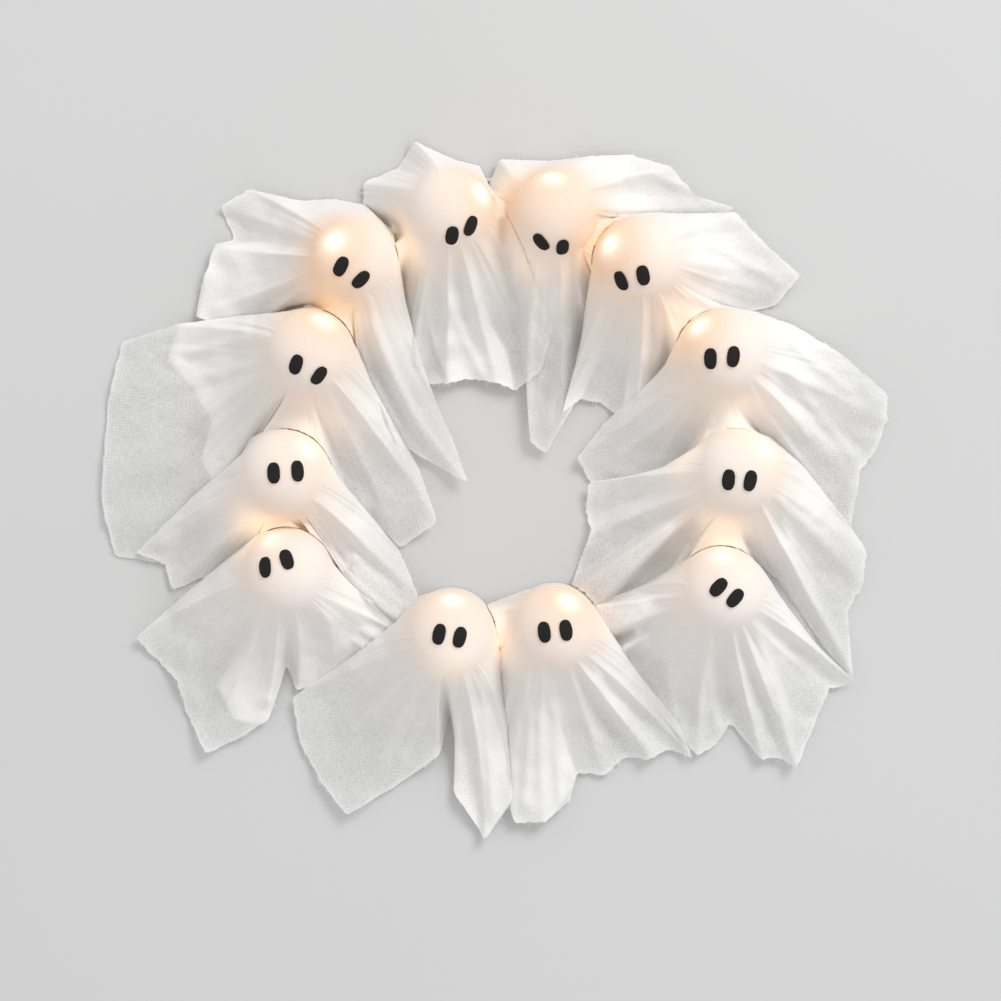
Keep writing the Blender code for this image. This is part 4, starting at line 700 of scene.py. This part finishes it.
# %% [markdown]
# A fan becomes a mesh of four-sided faces, closed at the top of the head by triangles. Its UV map is the
# flat cloth in metres: a point at distance s along a ray that leaves at angle a lies at (s cos a, s sin a),
# so threads run straight over the head and the folds. Each point also keeps how near the hem it is and how
# many layers of thread a look straight down meets there.

# %% Fan to mesh
def mesh_of(name, points, faces):
    """A mesh object from arrays of points and of faces with equally many corners."""
    mesh = bpy.data.meshes.new(name)
    mesh.from_pydata(points.tolist(), [], faces)
    mesh.shade_smooth()
    piece = bpy.data.objects.new(name, mesh)
    bpy.context.scene.collection.objects.link(piece)
    return piece


def set_values(piece, name, values):
    """Stores one number per vertex under a name that a material can read."""
    attribute = piece.data.attributes.new(name, "FLOAT", "POINT")
    attribute.data.foreach_set("value", np.asarray(values, np.float32))


def set_uv(piece, flat):
    """A UV map in metres, from each vertex's place on the flat cloth."""
    corner = np.empty(len(piece.data.loops), np.int32)
    piece.data.loops.foreach_get("vertex_index", corner)
    layer = piece.data.uv_layers.new(name="flat cloth")
    layer.data.foreach_set("uv", np.asarray(flat, np.float32)[corner].ravel())


def closed_faces(index, first, last):
    """Faces between rings of point numbers (rings, columns), closed by the points first and last."""
    after = np.roll(index, -1, 1)
    quads = np.stack([index[:-1], index[1:], after[1:], after[:-1]], -1).reshape(-1, 4)
    upper = np.stack([np.full(index.shape[1], first), index[0], after[0]], -1)
    lower = np.stack([np.full(index.shape[1], last), after[-1], index[-1]], -1)
    return quads.tolist() + upper.tolist() + lower.tolist()


def fan_faces(columns, rows):
    """Corner numbers of a fan's faces, with the top of the head as the last point."""
    index = np.arange(columns * rows).reshape(columns, rows)
    after = np.roll(index, -1, 0)
    quads = np.stack([index[:, :-1], index[:, 1:], after[:, 1:], after[:, :-1]], -1).reshape(-1, 4)
    top = np.full(columns, columns * rows)
    caps = np.stack([top, index[:, 0], after[:, 0]], -1)
    return quads.tolist() + caps.tolist()


FRAY = 0.0022
HEAD_EDGE = 0.034
LAYERS_AT_HEAD = 5.0
LAYERS_FADE = 0.040
SECOND_PLY = 1.1


def cloth_from(name, gauze, grid, centre):
    """The gauze's mesh, with its flat UV map and the glow, layers and hem values."""
    columns, rows = grid.shape[:2]
    top = np.array([[centre[0], centre[1], centre[2] + DOME_RADIUS]])
    points = np.concatenate([grid.reshape(-1, 3), top])
    piece = mesh_of(name, points, fan_faces(columns, rows))
    first = np.linalg.norm(grid[:, :1] - top[0], axis=2)
    along = np.concatenate([first, first + np.cumsum(np.linalg.norm(np.diff(grid, axis=1), axis=2), 1)], 1)
    leaving = grid[:, DOME_ROWS - 2] - centre
    angle = np.unwrap(np.arctan2(leaving[:, 1], leaving[:, 0]))
    flat = np.stack([along * np.cos(angle)[:, None], along * np.sin(angle)[:, None]], -1).reshape(-1, 2)
    set_uv(piece, np.concatenate([flat, [[0, 0]]]))
    for label, values in zip(("glow_core", "glow_halo", "glow_hollow"), glow_at(points)):
        set_values(piece, label, values)
    from_hem = along[:, -1:] - along
    set_values(piece, "hem", np.append(np.exp(-from_hem / FRAY).ravel(), 0))
    beyond = np.maximum(np.hypot(grid[..., 0] - centre[0], grid[..., 1] - centre[1]) - HEAD_EDGE, 0)
    layers = 1 + (LAYERS_AT_HEAD - 1) * np.exp(-beyond / LAYERS_FADE)
    layers = layers + SECOND_PLY * double_share(gauze, grid[..., :2])
    set_values(piece, "layers", np.append(layers.ravel(), LAYERS_AT_HEAD))
    return piece


def area_of(piece):
    """Sum of the areas of a mesh's faces."""
    areas = np.empty(len(piece.data.polygons))
    piece.data.polygons.foreach_get("area", areas)
    return float(areas.sum())


# %% [markdown]
# The twelve gauzes are draped in the order in which they were laid, because each reads what lies below it.

# %% Drape all twelve
gauzes, grids = {}, {}
for order, name in enumerate(LAID):
    grids[name] = drape(name, GHOSTS[name]["rays"], 40 + order)
    gauzes[name] = cloth_from(f"{name}_cloth", name, grids[name], CENTRES[name])
    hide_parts(f"{name}_gauze")
    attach(gauzes[name], "wreath")
print("gauzes", len(gauzes))

# %% [markdown]
# The eyes are ovals punched from black felt and glued on. Each is a small disc bent to the dome, domed a
# little and rounded at its rim: a grid of rings from its middle to the edge and back underneath.

# %% Felt eyes
EYE_SIDES = 56
FELT_THICK = 0.0012
FELT_BASE = DOME_RADIUS + 0.0005
OVAL_POWER = 2.5
# The felt's rings from near its middle over the rounded rim to its back: (share of the oval, of the height)
RIM = np.array([
    (0.25, 1.08), (0.5, 1.05), (0.72, 1.0), (0.87, 0.92),
    (0.96, 0.75), (1.0, 0.45), (0.985, 0.15), (0.94, 0.0),
])


def felt_oval(name, number, place):
    """An oval with |a|^2.5 + |b|^2.5 = 1 as its outline, wrapped on a sphere that just clears the gauze."""
    x, y, lean = place
    centre = CENTRES[name]
    outer = DOME_RADIUS + 0.0010
    level = photo_point(x, y, centre[2] + outer * 0.85) - centre[:2]
    outward = np.array([level[0], level[1], math.sqrt(outer ** 2 - (level ** 2).sum())]) / outer
    tilt = math.radians(lean)
    upright = np.array([math.sin(tilt), math.cos(tilt), 0])
    upright = upright - outward * upright.dot(outward)
    upright /= np.linalg.norm(upright)
    across = np.cross(upright, outward)
    turn = 2 * math.pi * np.arange(EYE_SIDES) / EYE_SIDES
    rng = np.random.default_rng(number + 10 * int(name[-2:]))
    wobble = 1 + 0.012 * ripple(rng, (3, 5, 8, 13), EYE_SIDES, 1)[:, 0]
    power = 2 / OVAL_POWER
    side = np.sign(np.sin(turn)) * np.abs(np.sin(turn)) ** power * wobble * EYE_WIDTH / 2
    long = np.sign(np.cos(turn)) * np.abs(np.cos(turn)) ** power * wobble * EYE_LENGTH / 2
    share, depth = RIM[:, 0, None, None], RIM[:, 1, None] * FELT_THICK
    flat = (across * side[:, None] + upright * long[:, None])[None] * share
    aim = outward * outer + flat
    aim /= np.linalg.norm(aim, axis=2)[..., None]
    body = centre + aim * (FELT_BASE + depth)[..., None]
    ends = [centre + outward * (FELT_BASE + 1.1 * FELT_THICK), centre + outward * FELT_BASE]
    points = np.concatenate([body.reshape(-1, 3), ends])
    index = np.arange(len(RIM) * EYE_SIDES).reshape(len(RIM), EYE_SIDES)
    return mesh_of(f"{name}_felt_{number}", points, closed_faces(index, len(points) - 2, len(points) - 1))


eyes = []
for name in GHOSTS:
    for number, place in enumerate(GHOSTS[name]["eyes"], 1):
        eye = felt_oval(name, number, place)
        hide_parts(f"{name}_eye_{number}")
        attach(eye, "wreath")
        eyes.append(eye)
print("eyes", len(eyes))

# %% [markdown]
# The cut edges of gauze fray: loose threads stick out a few millimetres. Each thread is a thin three-sided
# tube of a few segments that starts at the hem, heads outwards with a random turn, and sinks to the floor.

# %% Frayed threads
THREADS = 330
THREAD_RADIUS = 0.00013
THREAD_STEPS = 5
THREAD_CORNERS = (math.pi / 2, 3.665, 5.760)


def thread_fringe(name, grid, centre, seed):
    """All loose threads along one hem as one mesh: a start, a heading, a curl and a length for each."""
    rng = np.random.default_rng(seed)
    hem = grid[:, -1]
    inner = grid[:, -4]
    free = np.hypot(hem[:, 0] - centre[0], hem[:, 1] - centre[1]) > FLANK_RADIUS + 0.012
    length = np.hypot(*(np.roll(hem, -1, 0) - hem)[:, :2].T) * free
    clumps = np.clip(1 + 1.2 * ripple(rng, (9, 14, 23, 41), len(hem), 1)[:, 0], 0.05, None)
    edges = np.concatenate([[0], np.cumsum(length * clumps)])
    where = np.sort(rng.uniform(0, edges[-1], THREADS))
    column = np.clip(np.searchsorted(edges, where, side="right") - 1, 0, len(hem) - 1)
    part = ((where - edges[column]) / np.maximum(edges[column + 1] - edges[column], 1e-9))[:, None]
    after = (column + 1) % len(hem)
    start = hem[column] * (1 - part) + hem[after] * part
    heading = start - (inner[column] * (1 - part) + inner[after] * part)
    heading = np.arctan2(heading[:, 1], heading[:, 0]) + rng.normal(0, 0.55, THREADS)
    curl = rng.normal(0, 0.35, THREADS)
    reach = 0.0012 + rng.gamma(1.6, 0.0013, THREADS)
    step = np.arange(THREAD_STEPS + 1) / THREAD_STEPS
    aim = heading[:, None] + curl[:, None] * step[None] * 2
    plan = np.cumsum(np.stack([np.cos(aim), np.sin(aim)], -1), 1) * (reach / THREAD_STEPS)[:, None, None]
    plan = plan - plan[:, :1]
    spine = np.concatenate([start[:, None, :2] + plan, np.zeros((THREADS, THREAD_STEPS + 1, 1))], 2)
    drop = start[:, 2:3] - 0.5 * reach[:, None] * step[None] ** 1.5 + rng.uniform(0, 0.0006, (THREADS, 1))
    spine[..., 2] = np.maximum(drop, THREAD_RADIUS * 1.5)
    sideways = np.stack([-np.sin(aim), np.cos(aim), np.zeros_like(aim)], -1)
    thin = THREAD_RADIUS * (1 - 0.6 * step)[None, :, None]
    up = np.array([0, 0, 1.0])
    rim = [spine + thin * (math.cos(a) * sideways + math.sin(a) * up) for a in THREAD_CORNERS]
    points = np.stack(rim, 2).reshape(-1, 3)
    index = np.arange(THREADS * (THREAD_STEPS + 1) * 3).reshape(THREADS, THREAD_STEPS + 1, 3)
    after = np.roll(index, -1, 2)
    quads = np.stack([index[:, :-1], index[:, 1:], after[:, 1:], after[:, :-1]], -1).reshape(-1, 4)
    ends = np.concatenate([index[:, 0], index[:, -1][:, ::-1]])
    return mesh_of(f"{name}_frayed_threads", points, quads.tolist() + ends.tolist())


fringes = {}
for order, name in enumerate(LAID):
    fringes[name] = thread_fringe(name, grids[name], CENTRES[name], 90 + order)
    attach(fringes[name], "wreath")
    side = math.sqrt(area_of(gauzes[name]))
    print(name, "cloth", round(side * 1000), "mm square")
print("threads", THREADS * len(fringes))

# %% [markdown]
# Under the cloth the heads are balls of expanded foam, and the beads of light are drops of clear resin on
# the lead. They show from behind and from the side, so both are made round.

# %% Balls and beads
def round_solid(name, middle, radii, axis=None, rows=24, columns=48):
    """An ellipsoid: rings of points at even tilts, stretched by radii, with its long way along axis."""
    tilt = np.pi * np.arange(1, rows) / rows
    turn = 2 * np.pi * np.arange(columns) / columns
    ring = np.stack([
        np.sin(tilt)[:, None] * np.cos(turn), np.sin(tilt)[:, None] * np.sin(turn),
        np.cos(tilt)[:, None] * np.ones(columns),
    ], -1).reshape(-1, 3)
    points = np.concatenate([ring, [[0, 0, 1]], [[0, 0, -1]]]) * np.array(radii)
    if axis is not None:
        turned = Vector((0, 0, 1)).rotation_difference(Vector(axis)).to_matrix()
        points = points @ np.array(turned).T
    index = np.arange((rows - 1) * columns).reshape(rows - 1, columns)
    return mesh_of(name, points + middle, closed_faces(index, index.size, index.size + 1))


balls, beads = [], []
for name, centre in CENTRES.items():
    ball = round_solid(f"{name}_foam_ball", centre, (BALL_RADIUS,) * 3)
    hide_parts(f"{name}_head")
    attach(ball, "wreath")
    balls.append(ball)
    lead_way = np.cross(BEADS[name] - centre, [0, 0, 1])
    bead = round_solid(f"{name}_light_bead", BEADS[name], (0.0015, 0.0015, 0.0026), lead_way, 10, 16)
    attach(bead, "wreath")
    beads.append(bead)
print("balls", len(balls), "beads", len(beads))

# %% [markdown]
# Now the finishes. Gauze is an open weave: thin uneven threads with gaps between them. One node group makes
# the weave from the flat cloth's coordinates, with the threads' own wander and slubs, and puts out how much
# of a spot is thread, its height, and a tone. The material decides what to do with them.

# %% Node helpers
def new_group(name, inputs, outputs):
    """An empty node group with named sockets, and its input and output nodes."""
    group = bpy.data.node_groups.new(name, "ShaderNodeTree")
    for label, kind, value in inputs:
        socket = group.interface.new_socket(label, in_out="INPUT", socket_type=kind)
        if value is not None:
            socket.default_value = value
    for label, kind in outputs:
        group.interface.new_socket(label, in_out="OUTPUT", socket_type=kind)
    return group, group.nodes.new("NodeGroupInput"), group.nodes.new("NodeGroupOutput")


def math_node(tree, operation, first, second=None, third=None):
    """A Math node whose inputs are numbers or other nodes' outputs; gives back its output."""
    node = tree.nodes.new("ShaderNodeMath")
    node.operation = operation
    for socket, value in zip(node.inputs, (first, second, third)):
        if value is None:
            continue
        if isinstance(value, (int, float)):
            socket.default_value = value
        else:
            tree.links.new(value, socket)
    return node.outputs[0]


def noise_node(tree, vector, scale, detail=2.0, roughness=0.5):
    """A noise value over a vector."""
    node = tree.nodes.new("ShaderNodeTexNoise")
    tree.links.new(vector, node.inputs["Vector"])
    node.inputs["Scale"].default_value = scale
    node.inputs["Detail"].default_value = detail
    node.inputs["Roughness"].default_value = roughness
    return node.outputs["Fac"]


def stretched(tree, vector, scale):
    """The vector with each axis scaled by its own number."""
    node = tree.nodes.new("ShaderNodeVectorMath")
    node.operation = "MULTIPLY"
    tree.links.new(vector, node.inputs[0])
    node.inputs[1].default_value = scale
    return node.outputs[0]


def mixed(tree, share, first, second):
    """A blend of two colours or colour outputs by a share."""
    node = tree.nodes.new("ShaderNodeMix")
    node.data_type = "RGBA"
    for socket, value in ((node.inputs[0], share), (node.inputs[6], first), (node.inputs[7], second)):
        if isinstance(value, (int, float)):
            socket.default_value = value
        elif isinstance(value, tuple):
            socket.default_value = (*value, 1.0)
        else:
            tree.links.new(value, socket)
    return node.outputs[2]


def new_material(name, colour, roughness, metallic=0.0):
    """A material with a Principled shader, and its tree and shader."""
    material = bpy.data.materials.new(name)
    material.use_nodes = True
    material.diffuse_color = (*colour, 1)
    shader = material.node_tree.nodes["Principled BSDF"]
    shader.inputs["Base Color"].default_value = (*colour, 1)
    shader.inputs["Roughness"].default_value = roughness
    shader.inputs["Metallic"].default_value = metallic
    return material, material.node_tree, shader


def bump_into(tree, shader, height, strength, distance):
    """A Bump node between a height and the shader's normal."""
    node = tree.nodes.new("ShaderNodeBump")
    node.inputs["Strength"].default_value = strength
    node.inputs["Distance"].default_value = distance
    tree.links.new(height, node.inputs["Height"])
    tree.links.new(node.outputs["Normal"], shader.inputs["Normal"])


def coordinates(tree, kind="Object"):
    """The object's own coordinates."""
    return tree.nodes.new("ShaderNodeTexCoord").outputs[kind]


def value_of(tree, name):
    """A number stored on the mesh."""
    node = tree.nodes.new("ShaderNodeAttribute")
    node.attribute_name = name
    return node.outputs["Fac"]


# %% Weave group
def weave_group():
    """Threads both ways: a sine wave for each, its place pushed by noise, and slubs by long thin noise."""
    group, into, out = new_group(
        "open weave",
        [("Vector", "NodeSocketVector", None), ("Threads per metre", "NodeSocketFloat", 900.0),
         ("Wander", "NodeSocketFloat", 0.0007)],
        [("Cover", "NodeSocketFloat"), ("Height", "NodeSocketFloat"), ("Tone", "NodeSocketFloat")],
    )
    vector = into.outputs["Vector"]
    split = group.nodes.new("ShaderNodeSeparateXYZ")
    group.links.new(vector, split.inputs[0])
    threads, slubs = [], []
    for axis, along in ((0, (40, 420, 1)), (1, (420, 40, 1))):
        lines = stretched(group, vector, along)
        push = math_node(group, "SUBTRACT", noise_node(group, lines, 1.0, 0.0), 0.5)
        wander = math_node(group, "MULTIPLY", push, into.outputs["Wander"])
        place = math_node(group, "ADD", split.outputs[axis], wander)
        phase = math_node(group, "MULTIPLY", place, into.outputs["Threads per metre"])
        wave = math_node(group, "SINE", math_node(group, "MULTIPLY", phase, 2 * math.pi))
        threads.append(math_node(group, "MULTIPLY_ADD", wave, 0.5, 0.5))
        slubs.append(noise_node(group, stretched(group, vector, tuple(5.0 * s for s in along)), 0.8, 0.0))
    height = math_node(group, "MAXIMUM", threads[0], threads[1])
    slub = math_node(group, "MULTIPLY", math_node(group, "ADD", slubs[0], slubs[1]), 0.5)
    cover = math_node(group, "MULTIPLY_ADD", height, 0.5, math_node(group, "MULTIPLY", slub, 0.9))
    group.links.new(cover, out.inputs["Cover"])
    group.links.new(height, out.inputs["Height"])
    group.links.new(slub, out.inputs["Tone"])
    return group


WEAVE = weave_group()


def add_group(tree, group, **values):
    """A node group placed in a material, with some of its numbers set."""
    node = tree.nodes.new("ShaderNodeGroup")
    node.node_tree = group
    for label, value in values.items():
        node.inputs[label.replace("_", " ")].default_value = value
    return node


# %% [markdown]
# One layer of gauze lets part of the floor show, and more layers hide it. If a single layer covers c of what
# is behind it, n layers cover 1 - (1 - c)^n. Seen at a slant the light also crosses more thread, which the
# facing value of a Layer Weight node stands for.

# %% Gauze
# Warm tint that paints the beads' light into the gauze's base colour
PAINTED_GLOW_TINT = (0.66, 0.50, 0.385)
GLOWS = {
    "glow_halo": ((0.36, 0.19, 0.07), 0.6),
    "glow_hollow": ((0.66, 0.42, 0.22), 0.8),
    "glow_core": ((1.0, 0.93, 0.80), 1.0),
}


def gauze_material():
    """Cotton gauze: weave, see-through single layers, light passing through, a soft glow near the beads, and
    painted light in its colour.
    """
    material, tree, shader = new_material("cotton_gauze", (0.74, 0.74, 0.74), 0.95)
    weave = add_group(tree, WEAVE)
    tree.links.new(coordinates(tree, "UV"), weave.inputs["Vector"])
    facing = tree.nodes.new("ShaderNodeLayerWeight")
    facing.inputs["Blend"].default_value = 0.35
    slant = math_node(tree, "MULTIPLY_ADD", facing.outputs["Facing"], 2.0, 1.0)
    depth = math_node(tree, "MULTIPLY", value_of(tree, "layers"), slant)
    gap = math_node(tree, "SUBTRACT", 1.0, math_node(tree, "MULTIPLY", weave.outputs["Cover"], 0.76))
    open_share = math_node(tree, "POWER", math_node(tree, "MAXIMUM", gap, 0.02), depth)
    cover = math_node(tree, "SUBTRACT", 1.0, open_share)
    edge = math_node(tree, "MULTIPLY", value_of(tree, "hem"), 0.35)
    alpha = math_node(tree, "MINIMUM", math_node(tree, "ADD", cover, edge), 1.0)
    cloth = mixed(tree, weave.outputs["Tone"], (0.85, 0.85, 0.85), (0.95, 0.95, 0.945))
    # Near the head the cloth's colour is raised towards white: partly the many layers of thread there, partly
    # painted light that lifts the shade on the skirts round the head. The same share makes the cloth there
    # less translucent.
    near = math_node(tree, "MULTIPLY_ADD", value_of(tree, "layers"), 0.60, -0.60)
    near = math_node(tree, "MINIMUM", near, 1.0)
    cloth = mixed(tree, near, cloth, (0.94, 0.935, 0.925))
    # Painted warm light: near each bead the base colour is tinted warm, following the bead's halo of light.
    warm = math_node(tree, "MINIMUM", math_node(tree, "MULTIPLY", value_of(tree, "glow_halo"), 0.6), 0.7)
    cloth = mixed(tree, warm, cloth, PAINTED_GLOW_TINT)
    tree.links.new(cloth, shader.inputs["Base Color"])
    glow = (0, 0, 0)
    for label, (colour, gain) in GLOWS.items():
        share = math_node(tree, "MINIMUM", math_node(tree, "MULTIPLY", value_of(tree, label), gain), 1.0)
        glow = mixed(tree, share, glow, colour)
    tree.links.new(glow, shader.inputs["Emission Color"])
    shader.inputs["Emission Strength"].default_value = 1.0
    shader.inputs["Specular IOR Level"].default_value = 0.1
    bump_into(tree, shader, weave.outputs["Height"], 0.35, 0.0003)
    through = tree.nodes.new("ShaderNodeBsdfTranslucent")
    tree.links.new(cloth, through.inputs["Color"])
    clear = tree.nodes.new("ShaderNodeBsdfTransparent")
    body, seen = tree.nodes.new("ShaderNodeMixShader"), tree.nodes.new("ShaderNodeMixShader")
    tree.links.new(math_node(tree, "MULTIPLY_ADD", near, -0.24, 0.42), body.inputs[0])
    tree.links.new(shader.outputs[0], body.inputs[1])
    tree.links.new(through.outputs[0], body.inputs[2])
    tree.links.new(alpha, seen.inputs[0])
    tree.links.new(clear.outputs[0], seen.inputs[1])
    tree.links.new(body.outputs[0], seen.inputs[2])
    tree.links.new(seen.outputs[0], tree.nodes["Material Output"].inputs["Surface"])
    return material


GAUZE = gauze_material()
GAUZE.cycles.emission_sampling = "NONE"  # the glow lights nothing, so no rays are aimed at it
for piece in gauzes.values():
    piece.data.materials.append(GAUZE)

thread_material, tree, shader = new_material("loose_thread", (0.90, 0.90, 0.89), 0.9)
fuzz = noise_node(tree, coordinates(tree), 700.0)
tree.links.new(mixed(tree, fuzz, (0.80, 0.80, 0.79), (0.95, 0.95, 0.94)), shader.inputs["Base Color"])
for piece in fringes.values():
    piece.data.materials.append(thread_material)

# %% [markdown]
# Felt is a mat of short fibres. Its colour is nearly flat; what gives it away is the fine fuzz on its
# surface, made here by two noises stretched in different directions.

# %% Felt, foam, resin and the case's finishes
felt, tree, shader = new_material("black_felt", (0.012, 0.012, 0.011), 0.95)
place = coordinates(tree)
fibres = math_node(
    tree, "MAXIMUM", noise_node(tree, stretched(tree, place, (900, 2600, 900)), 1.0, 3.0),
    noise_node(tree, stretched(tree, place, (2600, 900, 1500)), 1.0, 3.0),
)
tree.links.new(mixed(tree, fibres, (0.006, 0.006, 0.006), (0.022, 0.021, 0.020)), shader.inputs["Base Color"])
shader.inputs["Sheen Weight"].default_value = 0.06
shader.inputs["Sheen Roughness"].default_value = 0.5
shader.inputs["Specular IOR Level"].default_value = 0.2
bump_into(tree, shader, fibres, 0.6, 0.0004)
for piece in eyes:
    piece.data.materials.append(felt)

foam, tree, shader = new_material("expanded_foam", (0.90, 0.88, 0.84), 0.8)
cells = tree.nodes.new("ShaderNodeTexVoronoi")
cells.inputs["Scale"].default_value = 420.0
tree.links.new(coordinates(tree), cells.inputs["Vector"])
tint = mixed(tree, cells.outputs["Distance"], (0.93, 0.92, 0.89), (0.80, 0.78, 0.74))
tree.links.new(tint, shader.inputs["Base Color"])
bump_into(tree, shader, math_node(tree, "SUBTRACT", 1.0, cells.outputs["Distance"]), 0.4, 0.0005)
for piece in balls:
    piece.data.materials.append(foam)

resin, tree, shader = new_material("lit_resin", (0.95, 0.85, 0.65), 0.25)
drops = noise_node(tree, coordinates(tree), 300.0)
tree.links.new(mixed(tree, drops, (1.0, 0.80, 0.50), (1.0, 0.92, 0.74)), shader.inputs["Emission Color"])
shader.inputs["Emission Strength"].default_value = 1.0
for piece in beads:
    piece.data.materials.append(resin)


def speckled(name, dark, light, roughness, scale, metallic=0.0, bump=0.15):
    """A hard finish with a fine grain in its colour, roughness and surface."""
    material, tree, shader = new_material(name, light, roughness, metallic)
    grain = noise_node(tree, coordinates(tree), scale, 4.0, 0.6)
    broad = noise_node(tree, coordinates(tree), scale / 40, 2.0)
    share = math_node(tree, "MULTIPLY", grain, broad)
    tree.links.new(mixed(tree, share, dark, light), shader.inputs["Base Color"])
    rough = math_node(tree, "MULTIPLY_ADD", grain, 0.2, roughness - 0.1)
    tree.links.new(rough, shader.inputs["Roughness"])
    bump_into(tree, shader, grain, bump, 0.0001)
    return material


FINISHES = {
    "painted_wire": speckled("painted_wire", (0.70, 0.70, 0.68), (0.83, 0.83, 0.81), 0.45, 900.0),
    "clear_lead": speckled("clear_insulation", (0.74, 0.62, 0.42), (0.88, 0.82, 0.68), 0.3, 600.0),
    "white_plastic": speckled("moulded_white_plastic", (0.76, 0.76, 0.74), (0.84, 0.84, 0.82), 0.45, 2500.0),
    "black_plastic": speckled("moulded_black_plastic", (0.02,) * 3, (0.035,) * 3, 0.5, 2500.0),
    "plated_steel": speckled("plated_steel", (0.50, 0.50, 0.48), (0.66, 0.66, 0.64), 0.3, 1500.0, 1.0),
    "cell_sleeve": speckled("cell_sleeve", (0.09, 0.10, 0.12), (0.14, 0.15, 0.17), 0.35, 500.0),
}
DRESSED = {
    "wire_frame": "painted_wire", "light_string": "clear_lead", "battery_case": "white_plastic",
    "battery_door": "white_plastic", "switch_knob": "black_plastic", "door_screw": "plated_steel",
    "battery_cell_1": "cell_sleeve", "battery_cell_2": "cell_sleeve", "battery_cell_3": "cell_sleeve",
    "contact_plate_left": "plated_steel", "contact_plate_right": "plated_steel",
}
for node, finish in DRESSED.items():
    for slot in nodes[node].material_slots:
        slot.material = FINISHES[finish]
print("CAD nodes with a finish", len(DRESSED))

# %% [markdown]
# The studio: a pale floor, an even world light and one large soft lamp from the upper right, as the soft
# shadows to the lower left of the wreath show. Together they show a flat grey about a fifth lighter than it
# is written, which is why the floor's grey below is darker than the photograph's.

# %% Floor and light
FLOOR_GREY = 0.575
MOTTLE = 0.02
WORLD_LIGHT = 0.82
bpy.ops.mesh.primitive_plane_add(size=12, location=(0, 0, -0.0006))
floor = bpy.context.object
floor.name = "studio_floor"
paper, tree, shader = new_material("floor_paper", (FLOOR_GREY,) * 3, 0.9)
shade = noise_node(tree, coordinates(tree), 1.3, 2.0)
tint = mixed(tree, shade, (FLOOR_GREY - MOTTLE,) * 3, (FLOOR_GREY + MOTTLE,) * 3)
tree.links.new(tint, shader.inputs["Base Color"])
shader.inputs["Specular IOR Level"].default_value = 0.0
floor.data.materials.append(paper)

world = bpy.data.worlds.new("studio")
bpy.context.scene.world = world
world.use_nodes = True
world.node_tree.nodes["Background"].inputs["Color"].default_value = (1, 1, 1, 1)
world.node_tree.nodes["Background"].inputs["Strength"].default_value = WORLD_LIGHT

lamp_data = bpy.data.lights.new("soft_window", "AREA")
lamp_data.shape = "DISK"
lamp_data.size = 2.4
lamp_data.energy = 130
lamp = bpy.data.objects.new("soft_window", lamp_data)
lamp.location = (2.2, 2.8, 3.2)
lamp.rotation_euler = (Vector((0, 0, 0.05)) - lamp.location).to_track_quat("-Z", "Y").to_euler()
bpy.context.scene.collection.objects.link(lamp)
bpy.context.scene.view_settings.view_transform = "Standard"
